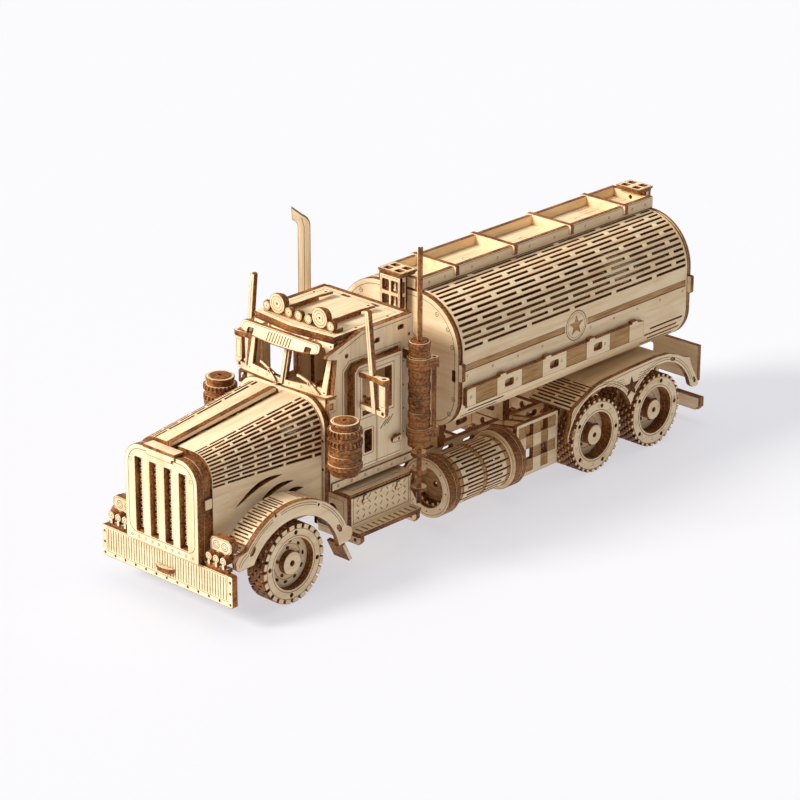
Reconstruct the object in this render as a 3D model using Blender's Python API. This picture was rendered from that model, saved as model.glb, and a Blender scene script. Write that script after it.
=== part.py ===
"""Laser-cut plywood tanker truck kit: a conventional cab, an oval tank and three wheelsets.

The truck faces -Y, +X is its left side, the tyres stand on Z = 0. Sizes are millimetres until they
become mesh points. Stations called *_Y are measured rearwards from the front of the bumper.
"""

import math
from collections import Counter

import bmesh
import bpy
from mathutils import Vector
from mathutils.geometry import delaunay_2d_cdt

MM = 0.001
INSIDE_WITH_HOLES = 2        # the triangulation keeps what lies inside the outline and outside its holes
GAP = 0.3                    # clear space between two pieces that touch
PLY = 2.0                    # thickness of the plywood sheets
THIN = 1.4                   # thickness of the slit sheets that are bent

# overall stations
BUMPER_DEPTH = 2.6
HOOK_REACH = 3.0
GRILLE_FRONT = -1.8          # the grille stands this far ahead of the bumper
GRILLE_DEPTH = 5.4
HOOD_LENGTH = 56.4
CAB_LENGTH = 47.2
CAB_TO_TANK = 17.5
TANK_LENGTH = 148.5
TAIL_OVERHANG = 13.0         # from the tank's rear plate to the back of the tail

# front end
BUMPER_HALF_WIDTH = 36.6
BUMPER_LOW, BUMPER_TOP = 9.8, 23.0
HOOK_RADIUS = 5.0
HOOK_Z = 15.5
GRILLE_HALF_WIDTH = 20.2
GRILLE_TOP = 64.2
GRILLE_CORNER = 9.0
GRILLE_SLOTS = 4
GRILLE_SLOT_WIDTH, GRILLE_SLOT_PITCH = 4.2, 8.2
GRILLE_SLOT_LOW, GRILLE_SLOT_TOP = 27.5, 58.5
HOOD_REAR_HALF_WIDTH = 23.0
HOOD_FRONT_TOP, HOOD_REAR_TOP = 65.0, 71.6
HOOD_FRONT_CORNER, HOOD_REAR_CORNER = 9.5, 11.0
HOOD_LOW = 27.0
RIB_WIDTH, RIB_HEIGHT = 2.4, 2.4
HEADLAMP_LOW, HEADLAMP_TOP = 28.8, 35.6
SMALL_LAMP_RADIUS, LAMP_PITCH = 1.9, 3.9

# cab
CAB_HALF_WIDTH = 24.3
CAB_TOP = 96.6
SILL_LOW = 34.0
COWL_DEPTH = 2.4
COWL_RIM = 1.4               # how far the cowl stands out round the hood
WINDSHIELD_LOW = 71.6
WINDSHIELD_RAKE = 0.22
WINDSHIELD_VEE = 0.115
WINDOW_BORDER = 2.6
ROOF_THICKNESS = 2.4
VISOR_HEIGHT = 7.0
ROOF_LAMPS = ((-17.6, 2.1), (-11.7, 4.2), (-5.4, 2.1), (0, 2.1), (5.4, 2.1), (11.7, 4.2), (17.6, 2.1))
DOOR_THICKNESS = 4.0
DOOR_PROUD = 3.1
DOOR_FRONT_GAP = 2.4
DOOR_LENGTH = 27.2
DOOR_LOW, DOOR_TOP = 40.4, 84.0
DOOR_SET_BACK = 10.8         # from the cowl's rear face to the door's front edge
HINGE_INSET, HINGE_BACK = 0.5, 1.2   # the hinge line from the leaf's inner face and front edge
HANDLE_LOW = 47.0
MIRROR_ROD = 2.4
MIRROR_REACH = 12.6          # from the door's face to the mirror's eye
MIRROR_TOP = 107.8

# pieces that flank the cab
CLEANER_X, CLEANER_BACK = 34.7, 2.2
CLEANER_RADIUS = 6.9
CLEANER_LOW, CLEANER_TOP = 45.7, 68.1
STACK_X = 31.8
STACK_BEHIND_CAB = -4.2
MUFFLER_RADIUS = 4.6
MUFFLER_LOW, MUFFLER_TOP = 43.5, 88.0
PIPE_WIDTH = 5.1
PIPE_TOP = 128.2
DOWN_PIPE_LOW = 18.0

# tank and catwalk
TANK_HALF_WIDTH = 33.0
TANK_LOW, TANK_TOP = 41.6, 97.0
TANK_TOP_CORNER, TANK_LOW_CORNER = 22.0, 15.0
CATWALK_HALF_WIDTH = 11.2
CATWALK_HEIGHT = 5.2
CATWALK_PITCH = 35.75
LADDER_HALF_WIDTH = 5.6
LADDER_DEPTH = 4.4
LADDER_HEIGHT = 15.0
SKIRT_HEIGHT = 7.8
SKIRT_TOP = 60.8
SKIRT_LENGTH = 112.0
SKIRT_SET_BACK = 2.6

# chassis and the boxes on it
CHASSIS_HALF_WIDTH = 9.2
CHASSIS_LOW, CHASSIS_TOP = 19.4, 26.0
CHASSIS_CELL = 24.0
SADDLE_HALF_WIDTH = 11.0
FUEL_RADIUS, FUEL_RING_RADIUS = 11.2, 13.0
FUEL_RING_DEPTH = 6.6
FUEL_LENGTH = 47.0
FUEL_Z = 17.4
FUEL_BORE = 8.6
BOX_LENGTH = 35.0
BOX_WIDTH = 20.4
BOX_LOW, BOX_TOP = 14.5, 32.5
STEP_WIDTH = 5.4
STEP_Z = 17.6
PANEL_LOW, PANEL_TOP = 7.5, 31.5
PANEL_X = 26.5

# running gear
WHEEL_RADIUS = 16.4
FRONT_AXLE_Y = 34.9
REAR_AXLE_SPACING = 39.7
REAR_AXLE_TO_TANK_END = 23.7
FRONT_WHEEL_FACE, REAR_WHEEL_FACE = 34.3, 35.0
FRONT_WHEEL_WIDTH, DUAL_WIDTH = 9.0, 20.0
RIM_RADIUS, HUB_RADIUS = 10.4, 4.6
DISH_DEPTH, REAR_DISH_DEPTH = 3.0, 5.5
AXLE_RADIUS = 1.6
AXLE_CLEARANCE = 0.08

# fenders and tail
FENDER_RADIUS = 25.0
FENDER_WIDTH = 6.6
FENDER_CENTRE_Z = 11.0
FENDER_FACE = 35.4
REAR_FENDER_FACE = 37.4
REAR_ARCH_RADIUS = 21.4
REAR_FENDER_TOP = 40.6
TAIL_HALF_WIDTH = 33.0
TAIL_LOW, TAIL_TOP = 20.4, 36.8
TAIL_SET_BACK = 3.4          # from the back of the tail plate to the back of the bumper bar
REAR_BUMPER_LOW, REAR_BUMPER_TOP = 5.2, 11.6

# stations worked out from the sizes above
HOOD_Y = GRILLE_DEPTH + GAP
COWL_Y = HOOD_Y + HOOD_LENGTH + GAP
CAB_Y = COWL_Y + COWL_DEPTH + GAP
CAB_END_Y = CAB_Y + CAB_LENGTH
TANK_Y = CAB_END_Y + CAB_TO_TANK
TANK_END_Y = TANK_Y + TANK_LENGTH
TAIL_END_Y = TANK_END_Y + TAIL_OVERHANG
REAR_AXLE_2_Y = TANK_END_Y - REAR_AXLE_TO_TANK_END
REAR_AXLE_Y = (REAR_AXLE_2_Y - REAR_AXLE_SPACING, REAR_AXLE_2_Y)
STACK_Y = CAB_END_Y + STACK_BEHIND_CAB
DOOR_Y = CAB_Y + DOOR_SET_BACK
FUEL_Y = TANK_Y - 7.0
MIDDLE_Y = (TAIL_END_Y - HOOK_REACH) / 2

PALE, LIGHT, BURNT = (0.74, 0.56, 0.36), (0.62, 0.43, 0.25), (0.30, 0.15, 0.07)


def clear_scene():
    for old in list(bpy.data.objects):
        bpy.data.objects.remove(old, do_unlink=True)


def wood(name, colour):
    """A plywood finish of its own for one sub-part."""
    material = bpy.data.materials.new(name)
    material.use_nodes = True
    shader = material.node_tree.nodes["Principled BSDF"]
    shader.inputs["Base Color"].default_value = (*colour, 1)
    shader.inputs["Roughness"].default_value = 0.7
    shader.inputs["Metallic"].default_value = 0.0
    return material


def at(axis, pair, depth):
    """The point of a flat drawing: X drawings hold (y, z), Y drawings (x, z) and Z drawings (x, y)."""
    a, b = pair
    return {"X": Vector((depth, a, b)), "Y": Vector((a, depth, b)), "Z": Vector((a, b, depth))}[axis]


def body(name, colour, points, faces, warp=None):
    """One closed object from points in millimetres, its stations moved so that the truck is centred."""
    if warp:
        points = [warp(point) for point in points]
    mesh = bpy.data.meshes.new(name)
    mesh.from_pydata([(p.x * MM, (p.y - MIDDLE_Y) * MM, p.z * MM) for p in points], [], faces)
    shape = bmesh.new()
    shape.from_mesh(mesh)
    bmesh.ops.recalc_face_normals(shape, faces=shape.faces)
    shape.to_mesh(mesh)
    shape.free()
    mesh.materials.append(wood(name, colour))
    mesh.shade_smooth()
    mesh.set_sharp_from_angle(angle=math.radians(30))
    made = bpy.data.objects.new(name, mesh)
    bpy.context.scene.collection.objects.link(made)
    return made


def plate(name, colour, axis, low, high, outline, holes=(), warp=None):
    """A sheet of wood cut to an outline with through holes."""
    pairs, loops = [], []
    for loop in (outline, *holes):
        loops.append(list(range(len(pairs), len(pairs) + len(loop))))
        pairs += [Vector(pair) for pair in loop]
    flat, _, caps, *_ = delaunay_2d_cdt(pairs, [], loops, INSIDE_WITH_HOLES, 1e-5)
    count = len(flat)
    points = [at(axis, pair, depth) for depth in (low, high) for pair in flat]
    faces = [tuple(cap) for cap in caps] + [tuple(i + count for i in reversed(cap)) for cap in caps]
    used = Counter(frozenset((cap[i - 1], cap[i])) for cap in caps for i in range(len(cap)))
    for rim, times in used.items():
        if times == 1:
            a, b = rim
            faces.append((a, b, b + count, a + count))
    return body(name, colour, points, faces, warp)


def loft(name, colour, first, last):
    """A solid between two closed outlines of as many points."""
    count = len(first)
    faces = [tuple(range(count)), tuple(range(2 * count - 1, count - 1, -1))]
    faces += [(i, (i + 1) % count, (i + 1) % count + count, i + count) for i in range(count)]
    return body(name, colour, [*first, *last], faces)


def turned(name, colour, axis, centre, profile, sides=32):
    """A turned solid: profile is (radius, height) from the axis back to the axis."""
    points, faces, rings = [], [], []
    for radius, height in profile:
        start = len(points)
        steps = sides if radius > 0 else 1
        for i in range(steps):
            angle = 2 * math.pi * (i + 0.5) / sides
            pair = (radius * math.cos(angle), radius * math.sin(angle))
            points.append(centre + at(axis, pair, height))
        rings.append(range(start, start + steps))
    for low, high in zip(rings, rings[1:]):
        for i in range(sides):
            j = (i + 1) % sides
            corners = [low[i % len(low)], low[j % len(low)], high[j % len(high)], high[i % len(high)]]
            faces.append(tuple(dict.fromkeys(corners)))
    return body(name, colour, points, faces)


def box(name, colour, low, high):
    (x0, y0, z0), (x1, y1, z1) = low, high
    return plate(name, colour, "Z", z0, z1, rectangle(x0, y0, x1, y1))


def rectangle(a0, b0, a1, b1):
    return [(a0, b0), (a1, b0), (a1, b1), (a0, b1)]


def arc(centre, radius, start, end, steps):
    a, b = centre
    turns = [math.radians(start + (end - start) * i / steps) for i in range(steps + 1)]
    return [(a + radius * math.cos(t), b + radius * math.sin(t)) for t in turns]


def rounded(a0, b0, a1, b1, low, high, steps=6):
    """A rectangle with one corner radius along its bottom and another along its top."""
    return (
        arc((a1 - low, b0 + low), low, -90, 0, steps)
        + arc((a1 - high, b1 - high), high, 0, 90, steps)
        + arc((a0 + high, b1 - high), high, 90, 180, steps)
        + arc((a0 + low, b0 + low), low, 180, 270, steps)
    )


def ribbon(path, thickness):
    """The closed outline of a sheet that follows a path, its thickness to the right of the path."""
    inner = []
    for i, (a, b) in enumerate(path):
        before, after = path[max(i - 1, 0)], path[min(i + 1, len(path) - 1)]
        along = Vector((after[0] - before[0], after[1] - before[1])).normalized()
        inner.append((a + along.y * thickness, b - along.x * thickness))
    return path + inner[::-1]


def join(whole, *others):
    """Makes the other shapes part of the first one."""
    for other in others:
        union = whole.modifiers.new(other.name, "BOOLEAN")
        union.operation = "UNION"
        union.object = other
        other.hide_render = True
        other.display_type = "WIRE"
    return whole


def put_origin(piece, x, y, z):
    """Moves a piece's origin to a point, and leaves the piece where it is."""
    point = Vector((x * MM, (y - MIDDLE_Y) * MM, z * MM))
    for vertex in piece.data.vertices:
        vertex.co -= point
    piece.location = point
    return piece


def mirrored(pairs, side):
    """A drawing in (x, ...) for the left side, turned over for the right."""
    return [(side * a, b) for a, b in pairs]


def sides():
    return (("left", 1), ("right", -1))


def span(side, near, far):
    return sorted((side * near, side * far))


def make_bumper():
    outline = rounded(-BUMPER_HALF_WIDTH, BUMPER_LOW, BUMPER_HALF_WIDTH, BUMPER_TOP, 0.8, 0.8, 2)
    plate("front_bumper", PALE, "Y", 0, BUMPER_DEPTH, outline)
    hook = arc((0, -GAP), HOOK_RADIUS, 180, 360, 12)
    flatten = (HOOK_REACH - GAP) / HOOK_RADIUS
    hook = [(a, -GAP + (b + GAP) * flatten) for a, b in hook]
    plate("tow_hook", LIGHT, "Z", HOOK_Z - PLY / 2, HOOK_Z + PLY / 2, hook)


def make_grille():
    low = BUMPER_TOP + GAP
    outline = rounded(-GRILLE_HALF_WIDTH, low, GRILLE_HALF_WIDTH, GRILLE_TOP, 0.8, GRILLE_CORNER, 8)
    holes = []
    for i in range(GRILLE_SLOTS):
        middle = (i - (GRILLE_SLOTS - 1) / 2) * GRILLE_SLOT_PITCH
        half = GRILLE_SLOT_WIDTH / 2
        holes.append(rectangle(middle - half, GRILLE_SLOT_LOW, middle + half, GRILLE_SLOT_TOP))
    plate("grille", PALE, "Y", GRILLE_FRONT, GRILLE_DEPTH, outline, holes)


def hood_section(side, half, top, corner, station):
    """One half of the hood across the truck: out along the top, round the corner and down the side."""
    path = [(RIB_WIDTH / 2 + GAP, top)]
    path += arc((half - corner, top - corner), corner, 90, 0, 8)
    path.append((half, HOOD_LOW))
    return [Vector((side * x, station, z)) for x, z in ribbon(path, THIN)]


def make_hood():
    end = HOOD_Y + HOOD_LENGTH
    for name, side in sides():
        front = hood_section(side, GRILLE_HALF_WIDTH + 0.2, HOOD_FRONT_TOP, HOOD_FRONT_CORNER, HOOD_Y)
        rear = hood_section(side, HOOD_REAR_HALF_WIDTH, HOOD_REAR_TOP, HOOD_REAR_CORNER, end)
        loft(f"hood_sheet_{name}", PALE, front, rear)
    low = -THIN
    half = RIB_WIDTH / 2
    rib = [(-half, low), (half, low), (half, RIB_HEIGHT), (-half, RIB_HEIGHT)]
    loft("hood_rib", LIGHT, [Vector((x, HOOD_Y, HOOD_FRONT_TOP + z)) for x, z in rib],
         [Vector((x, end - 3, HOOD_REAR_TOP + z)) for x, z in rib])


def make_headlamps():
    """Three small round lamps on a foot, and the twin headlamp behind and above them."""
    low = BUMPER_TOP + GAP
    near, far = GRILLE_HALF_WIDTH + 1.2, FENDER_FACE - PLY - GAP
    for name, side in sides():
        outline = rectangle(near, low, far, low + 3.2)
        lamp = plate(f"headlamp_{name}", PALE, "Y", 0.6, 3.4, mirrored(outline, side))
        for i in range(3):
            middle = near + 2.2 + i * LAMP_PITCH
            bulb = arc((middle, low + 4.6), SMALL_LAMP_RADIUS, 0, 330, 11)
            join(lamp, plate(f"{name}_bulb_{i}", PALE, "Y", 0.2, 3.8, mirrored(bulb, side)))
        block = rounded(near, HEADLAMP_LOW, far, HEADLAMP_TOP, 1.2, 2.4, 4)
        join(lamp, plate(f"{name}_block", PALE, "Y", 3.2, 6.8, mirrored(block, side)))


def make_front_fenders():
    centre = (FRONT_AXLE_Y - 0.6, FENDER_CENTRE_Z)
    outer = FENDER_RADIUS + FENDER_WIDTH
    front, rear = 152, 12
    crown = arc(centre, outer, front, rear + 8, 18)
    tail = [(centre[0] + outer + 1.6, FENDER_CENTRE_Z + 8), (centre[0] + outer, FENDER_CENTRE_Z + 5)]
    outline = crown + tail + arc(centre, FENDER_RADIUS, rear, front, 18)
    skin = ribbon(arc(centre, outer - 0.4, front - 2, rear + 8, 18), THIN)
    for name, side in sides():
        low, high = span(side, FENDER_FACE - PLY, FENDER_FACE)
        plate(f"front_fender_{name}", PALE, "X", low, high, outline)
        low, high = span(side, HOOD_REAR_HALF_WIDTH + GAP, FENDER_FACE - PLY - GAP)
        plate(f"front_fender_shell_{name}", PALE, "X", low, high, skin)


def make_cowl():
    half, top = HOOD_REAR_HALF_WIDTH + COWL_RIM, HOOD_REAR_TOP + COWL_RIM
    outline = rounded(-half, CHASSIS_TOP + GAP, half, top, 0.8, HOOD_REAR_CORNER, 8)
    plate("cowl", PALE, "Y", COWL_Y, COWL_Y + COWL_DEPTH, outline)


def windshield_lean(point):
    lean = WINDSHIELD_RAKE * (point.z - WINDSHIELD_LOW) + WINDSHIELD_VEE * abs(point.x)
    return Vector((point.x, point.y + lean, point.z))


def make_windshield():
    half = CAB_HALF_WIDTH - PLY - GAP
    low, top = HOOD_REAR_TOP + COWL_RIM + GAP, CAB_TOP - ROOF_THICKNESS - GAP
    outline = [(0, low), (half, low), (half, top), (0, top), (-half, top), (-half, low)]
    window = rectangle(WINDOW_BORDER / 2, low + WINDOW_BORDER, half - WINDOW_BORDER, top - WINDOW_BORDER)
    holes = [mirrored(window, side) for side in (1, -1)]
    front = COWL_Y + 0.4
    plate("windshield", PALE, "Y", front, front + PLY, outline, holes, windshield_lean)


def make_roof():
    front = COWL_Y + 0.4 + WINDSHIELD_RAKE * (CAB_TOP - WINDSHIELD_LOW) - 0.6
    half = CAB_HALF_WIDTH - PLY - GAP
    corner = front + WINDSHIELD_VEE * half
    outline = [(0, front), (half, corner), (half, CAB_END_Y - PLY - GAP)]
    outline += [(-half, CAB_END_Y - PLY - GAP), (-half, corner)]
    plate("cab_roof", PALE, "Z", CAB_TOP - ROOF_THICKNESS, CAB_TOP, outline)

    visor = arc((0, 60), 60 + VISOR_HEIGHT, -112, -68, 10)
    reach = [(-CAB_HALF_WIDTH + 2.6, 0), (CAB_HALF_WIDTH - 2.6, 0)]
    outline = [(max(reach[0][0], min(reach[1][0], a)), b) for a, b in visor]
    outline = [(a, CAB_TOP - 1.4 + b) for a, b in reach[:1] + outline + reach[1:]]

    def tilt(point):
        return Vector((point.x, point.y + 0.55 * (point.z - CAB_TOP), point.z))

    plate("sun_visor", PALE, "Y", front - PLY - GAP - 1.2, front - GAP - 1.2, outline, (), tilt)

    deck = CAB_TOP + GAP
    lamp_y = front + 6.5
    bar = box("roof_lights", LIGHT, (-19.6, lamp_y - 1, deck), (19.6, lamp_y + 2.4, deck + 1.6))
    for middle, radius in ROOF_LAMPS:
        lamp = arc((middle, deck + radius + 0.3), radius, 0, 345, 23)
        join(bar, plate(f"lamp_{middle}", PALE, "Y", lamp_y - 1.6, lamp_y + 2, lamp))


def make_cab_sides():
    top = CAB_TOP
    rake = COWL_Y + 0.4 + WINDSHIELD_RAKE * (88.8 - WINDSHIELD_LOW) + 1.5
    tip = (COWL_Y + 1.4, top - 6.4)
    outline = [(CAB_Y, SILL_LOW), (CAB_END_Y, SILL_LOW), (CAB_END_Y, top), (tip[0] + 18.5, top)]
    outline += [tip, (rake, top - 8), (CAB_Y + 1.9, WINDSHIELD_LOW - 1), (CAB_Y, WINDSHIELD_LOW - 1.4)]
    front, rear = DOOR_Y - DOOR_FRONT_GAP, DOOR_Y + DOOR_LENGTH + 0.6
    aperture = [(front, DOOR_LOW - 0.6), (rear, DOOR_LOW - 0.6), (rear, DOOR_TOP + 0.8)]
    aperture += [(front + 3, DOOR_TOP + 0.8), (front, DOOR_TOP - 2.2)]
    for name, side in sides():
        low, high = span(side, CAB_HALF_WIDTH - PLY, CAB_HALF_WIDTH)
        plate(f"cab_side_{name}", PALE, "X", low, high, outline, [aperture])
    half = CAB_HALF_WIDTH - PLY - GAP
    back = rectangle(-half, SILL_LOW, half, CAB_TOP)
    window = rectangle(-9, 70, 9, 86)
    plate("cab_back", LIGHT, "Y", CAB_END_Y - PLY, CAB_END_Y, back, [window])


def make_doors():
    """Each door hangs on an upright axis just behind its front edge, with its mirror on it."""
    end = DOOR_Y + DOOR_LENGTH
    leaf = [(DOOR_Y, DOOR_LOW), (end, DOOR_LOW), (end, DOOR_TOP)]
    leaf += [(DOOR_Y + 2.4, DOOR_TOP), (DOOR_Y, DOOR_TOP - 2.4)]
    window = rectangle(DOOR_Y + 4.5, 62.5, end - 6.2, 79.5)
    quarter = rectangle(DOOR_Y + 5.6, 46.5, DOOR_Y + 9.6, 56)
    outer = CAB_HALF_WIDTH + DOOR_PROUD
    hinge = (outer - DOOR_THICKNESS + HINGE_INSET, DOOR_Y + HINGE_BACK, DOOR_LOW)
    handle_y = end - 5
    for name, side in sides():
        low, high = span(side, outer - DOOR_THICKNESS, outer)
        door = plate(f"door_{name}", PALE, "X", low, high, leaf, [window, quarter])
        low, high = span(side, outer - 0.6, outer + 2.2)
        grip = rectangle(handle_y - 2.6, HANDLE_LOW, handle_y + 2.6, HANDLE_LOW + 2.6)
        handle = plate(f"{name}_handle", LIGHT, "X", low, high, grip)
        join(door, handle)
        for piece in (door, handle):
            put_origin(piece, side * hinge[0], hinge[1], hinge[2])
        make_mirror(name, side, outer, hinge)


def make_mirror(name, side, face, hinge):
    y = DOOR_Y + 3.4
    half = MIRROR_ROD / 2
    rod_low, rod_top = 66.0, MIRROR_TOP
    lean = 0.098

    def upright(x, z):
        return x - lean * (z - rod_low)

    start = face + 8.0
    rod = [(upright(start - half, z), z) for z in (rod_low, rod_top)]
    rod += [(upright(start + half, z), z) for z in (rod_top, rod_low)]
    mirror = plate(f"mirror_{name}", PALE, "Y", y - half, y + half, mirrored(rod, side))
    end = face + MIRROR_REACH
    pieces = []
    for step, level in enumerate((79.6, 66.6)):
        eye = arc((end, y), 1.9, -100, 100, 8)
        arm = [(face + GAP, y + 1), (face + GAP, y - 1)] + eye
        pieces.append(plate(f"{name}_arm_{step}", PALE, "Z", level, level + PLY, mirrored(arm, side)))
    glass = rectangle(end - 2.2, 68, end + 1.4, 80)
    pieces.append(plate(f"{name}_glass", PALE, "Y", y - 1.1, y + 1.1, mirrored(glass, side)))
    join(mirror, *pieces)
    for piece in (mirror, *pieces):
        put_origin(piece, side * hinge[0], hinge[1], hinge[2])


def make_air_cleaners():
    r, low, top = CLEANER_RADIUS, CLEANER_LOW, CLEANER_TOP
    profile = [(0, low), (r - 0.7, low), (r - 0.7, low + 4), (r, low + 4), (r, top - 3)]
    profile += [(r - 1.1, top - 3), (r - 1.1, top), (0, top)]
    for name, side in sides():
        centre = Vector((side * CLEANER_X, CAB_Y - CLEANER_BACK, 0))
        cleaner = turned(f"air_cleaner_{name}", BURNT, "Z", centre, profile, 28)
        near, far = span(side, CAB_HALF_WIDTH + GAP, CLEANER_X - 3)
        join(cleaner, box(f"{name}_bracket", LIGHT, (near, CAB_Y + 0.4, 55), (far, CAB_Y + 2.6, 59)))


def diagonal_plank(name, colour, side, path):
    """A plank of the exhaust, cut in its own plane, which stands at 45 degrees to the truck's side."""
    turn = math.sqrt(0.5)

    def stand(point):
        along, across = point.x, point.y
        x = STACK_X + (along + across) * turn
        y = STACK_Y + (across - along) * turn
        return Vector((side * x, y, point.z))

    return plate(name, colour, "Y", -PLY / 2, PLY / 2, path, (), stand)


def make_exhausts():
    r, low, top = MUFFLER_RADIUS, MUFFLER_LOW, MUFFLER_TOP
    clamp = r + 0.6
    profile = [(0, low), (r, low), (r, low + 4), (clamp, low + 4), (clamp, low + 8), (r, low + 8)]
    profile += [(r, top - 11), (clamp, top - 11), (clamp, top - 3), (r, top - 3), (r, top), (0, top)]
    half = PIPE_WIDTH / 2
    foot = [(-half, low + 1)] + arc((0, DOWN_PIPE_LOW + half), half, 180, 360, 8) + [(half, low + 1)]
    curl = PIPE_TOP - 8
    pipe = [(-half, top + GAP), (half, top + GAP), (half, curl)]
    pipe += arc((half + 3, curl), 3, 180, 100, 5)
    pipe += [(half + 2.4, PIPE_TOP)] + arc((half, curl), 2 * half, 120, 180, 5)
    for name, side in sides():
        centre = Vector((side * STACK_X, STACK_Y, 0))
        muffler = turned(f"muffler_{name}", BURNT, "Z", centre, profile, 24)
        near, far = span(side, CAB_HALF_WIDTH + GAP, STACK_X - 2)
        stay = box(f"{name}_stay", LIGHT, (near, STACK_Y - PLY, top - 9), (far, STACK_Y, top - 5))
        join(muffler, diagonal_plank(f"{name}_down_pipe", LIGHT, side, foot), stay)
        diagonal_plank(f"exhaust_pipe_{name}", PALE, side, pipe)


def tank_section(inset):
    """The tank's outline, drawn in by the same amount all round."""
    half, low, top = TANK_HALF_WIDTH - inset, TANK_LOW + inset, TANK_TOP - inset
    return rounded(-half, low, half, top, TANK_LOW_CORNER - inset, TANK_TOP_CORNER - inset, 10)


def make_tank():
    outline, inner = tank_section(0), tank_section(THIN)
    plate("tank_front_plate", PALE, "Y", TANK_Y, TANK_Y + PLY, outline)
    plate("tank_rear_plate", PALE, "Y", TANK_END_Y - PLY, TANK_END_Y, outline)
    plate("tank_shell", PALE, "Y", TANK_Y + PLY + GAP, TANK_END_Y - PLY - GAP, outline, [inner])


def make_catwalk():
    half, low = CATWALK_HALF_WIDTH, TANK_TOP + GAP
    top = low + CATWALK_HEIGHT
    inner = half - PLY
    end = TANK_END_Y
    middle = (TANK_Y + end) / 2
    bars = [middle + (i - 1.5) * CATWALK_PITCH for i in range(4)]
    edges = [TANK_Y, *bars, end - PLY]
    holes = [rectangle(-inner, a + PLY, inner, b) for a, b in zip(edges, edges[1:])]
    plate("catwalk", PALE, "Z", low, top, rectangle(-half, TANK_Y, half, end), holes)
    half, deck = LADDER_HALF_WIDTH, top + GAP
    for name, face, way in (("front", TANK_Y - GAP, -1), ("rear", TANK_END_Y + GAP, 1)):
        y0, y1 = sorted((face, face + way * LADDER_DEPTH))
        low = deck - LADDER_HEIGHT
        frame = rectangle(-half, low, half, deck + 0.6)
        cells = []
        for x in (-half + 1.4, 0.7):
            for z in (low + 1.8, low + 8.2):
                cells.append(rectangle(x, z, x + half - 2.1, z + 4.6))
        ladder = plate(f"{name}_ladder", PALE, "Y", y0, y1, frame, cells)
        y0, y1 = sorted((face - way * 4.6, face + way * (LADDER_DEPTH + 0.8)))
        grid = []
        for x in (-4.8, 1.4):
            for y in (y0 + 1.4, y0 + 5.6):
                grid.append(rectangle(x, y, x + 3.4, y + 2.8))
        rim = rectangle(-half - 1, y0, half + 1, y1)
        join(ladder, plate(f"{name}_grid", PALE, "Z", deck, deck + PLY, rim, grid))


def make_skirts():
    start = TANK_Y + SKIRT_SET_BACK
    outline = rounded(start, SKIRT_TOP - SKIRT_HEIGHT, start + SKIRT_LENGTH, SKIRT_TOP, 1, 1, 3)
    for name, side in sides():
        low, high = span(side, TANK_HALF_WIDTH + GAP, TANK_HALF_WIDTH + GAP + PLY)
        plate(f"side_skirt_{name}", LIGHT, "X", low, high, outline)


def make_chassis():
    """The ladder frame, with the cab's floor, the tank's saddles and the axle hangers fixed to it."""
    start, end = GRILLE_DEPTH + GAP, TAIL_END_Y - TAIL_SET_BACK - PLY - GAP
    wall = 2.4
    length = end - start
    cells = max(1, round(length / (CHASSIS_CELL + wall)))
    pitch = (length - wall) / cells
    half, inner = CHASSIS_HALF_WIDTH, CHASSIS_HALF_WIDTH - wall
    edges = [start + i * pitch for i in range(cells + 1)]
    holes = [rectangle(-inner, a + wall, inner, b) for a, b in zip(edges, edges[1:])]
    rails = rectangle(-half, start, half, end)
    frame = plate("chassis", LIGHT, "Z", CHASSIS_LOW, CHASSIS_TOP, rails, holes)
    seat = CHASSIS_TOP - 0.5
    board = CAB_HALF_WIDTH - PLY - GAP
    floor_end = CAB_END_Y - PLY - GAP
    fixed = [box("cab_floor", LIGHT, (-board, CAB_Y, SILL_LOW), (board, floor_end, SILL_LOW + PLY))]
    for i, y in enumerate((CAB_Y + 6, floor_end - 6 - PLY)):
        fixed.append(box(f"bearer_{i}", LIGHT, (-half, y, seat), (half, y + PLY, SILL_LOW + 0.5)))
    middle = sum(REAR_AXLE_Y) / 2
    reach, saddle_top = SADDLE_HALF_WIDTH, TANK_LOW - GAP
    for i, y in enumerate((TANK_Y + 12, (TANK_Y + middle) / 2, middle, TANK_END_Y - 14)):
        fixed.append(box(f"saddle_{i}", LIGHT, (-reach, y, seat), (reach, y + 2 * PLY, saddle_top)))
    bore = (AXLE_RADIUS + AXLE_CLEARANCE) / math.cos(math.pi / 24)
    for i, y in enumerate((FRONT_AXLE_Y, *REAR_AXLE_Y)):
        hanger = rectangle(y - 3.4, WHEEL_RADIUS - 3.2, y + 3.4, CHASSIS_LOW + 0.5)
        hole = arc((y, WHEEL_RADIUS), bore, 0, 345, 23)
        for name, side in sides():
            low, high = span(side, inner, half)
            fixed.append(plate(f"hanger_{i}_{name}", LIGHT, "X", low, high, hanger, [hole]))
    join(frame, *fixed)


def make_fuel_tanks():
    ring, drum, bore = FUEL_RING_RADIUS, FUEL_RADIUS, FUEL_BORE
    deep, length = FUEL_RING_DEPTH, FUEL_LENGTH
    profile = [(0, deep - 1), (bore, deep - 1), (bore, 0), (ring, 0), (ring, deep), (drum, deep)]
    profile += [(drum, length - deep), (ring, length - deep), (ring, length), (bore, length)]
    profile += [(bore, length - deep + 1), (0, length - deep + 1)]
    for name, side in sides():
        centre = Vector((side * (CHASSIS_HALF_WIDTH + GAP + ring), FUEL_Y, FUEL_Z))
        turned(f"fuel_tank_{name}", LIGHT, "Y", centre, profile, 36)


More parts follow.
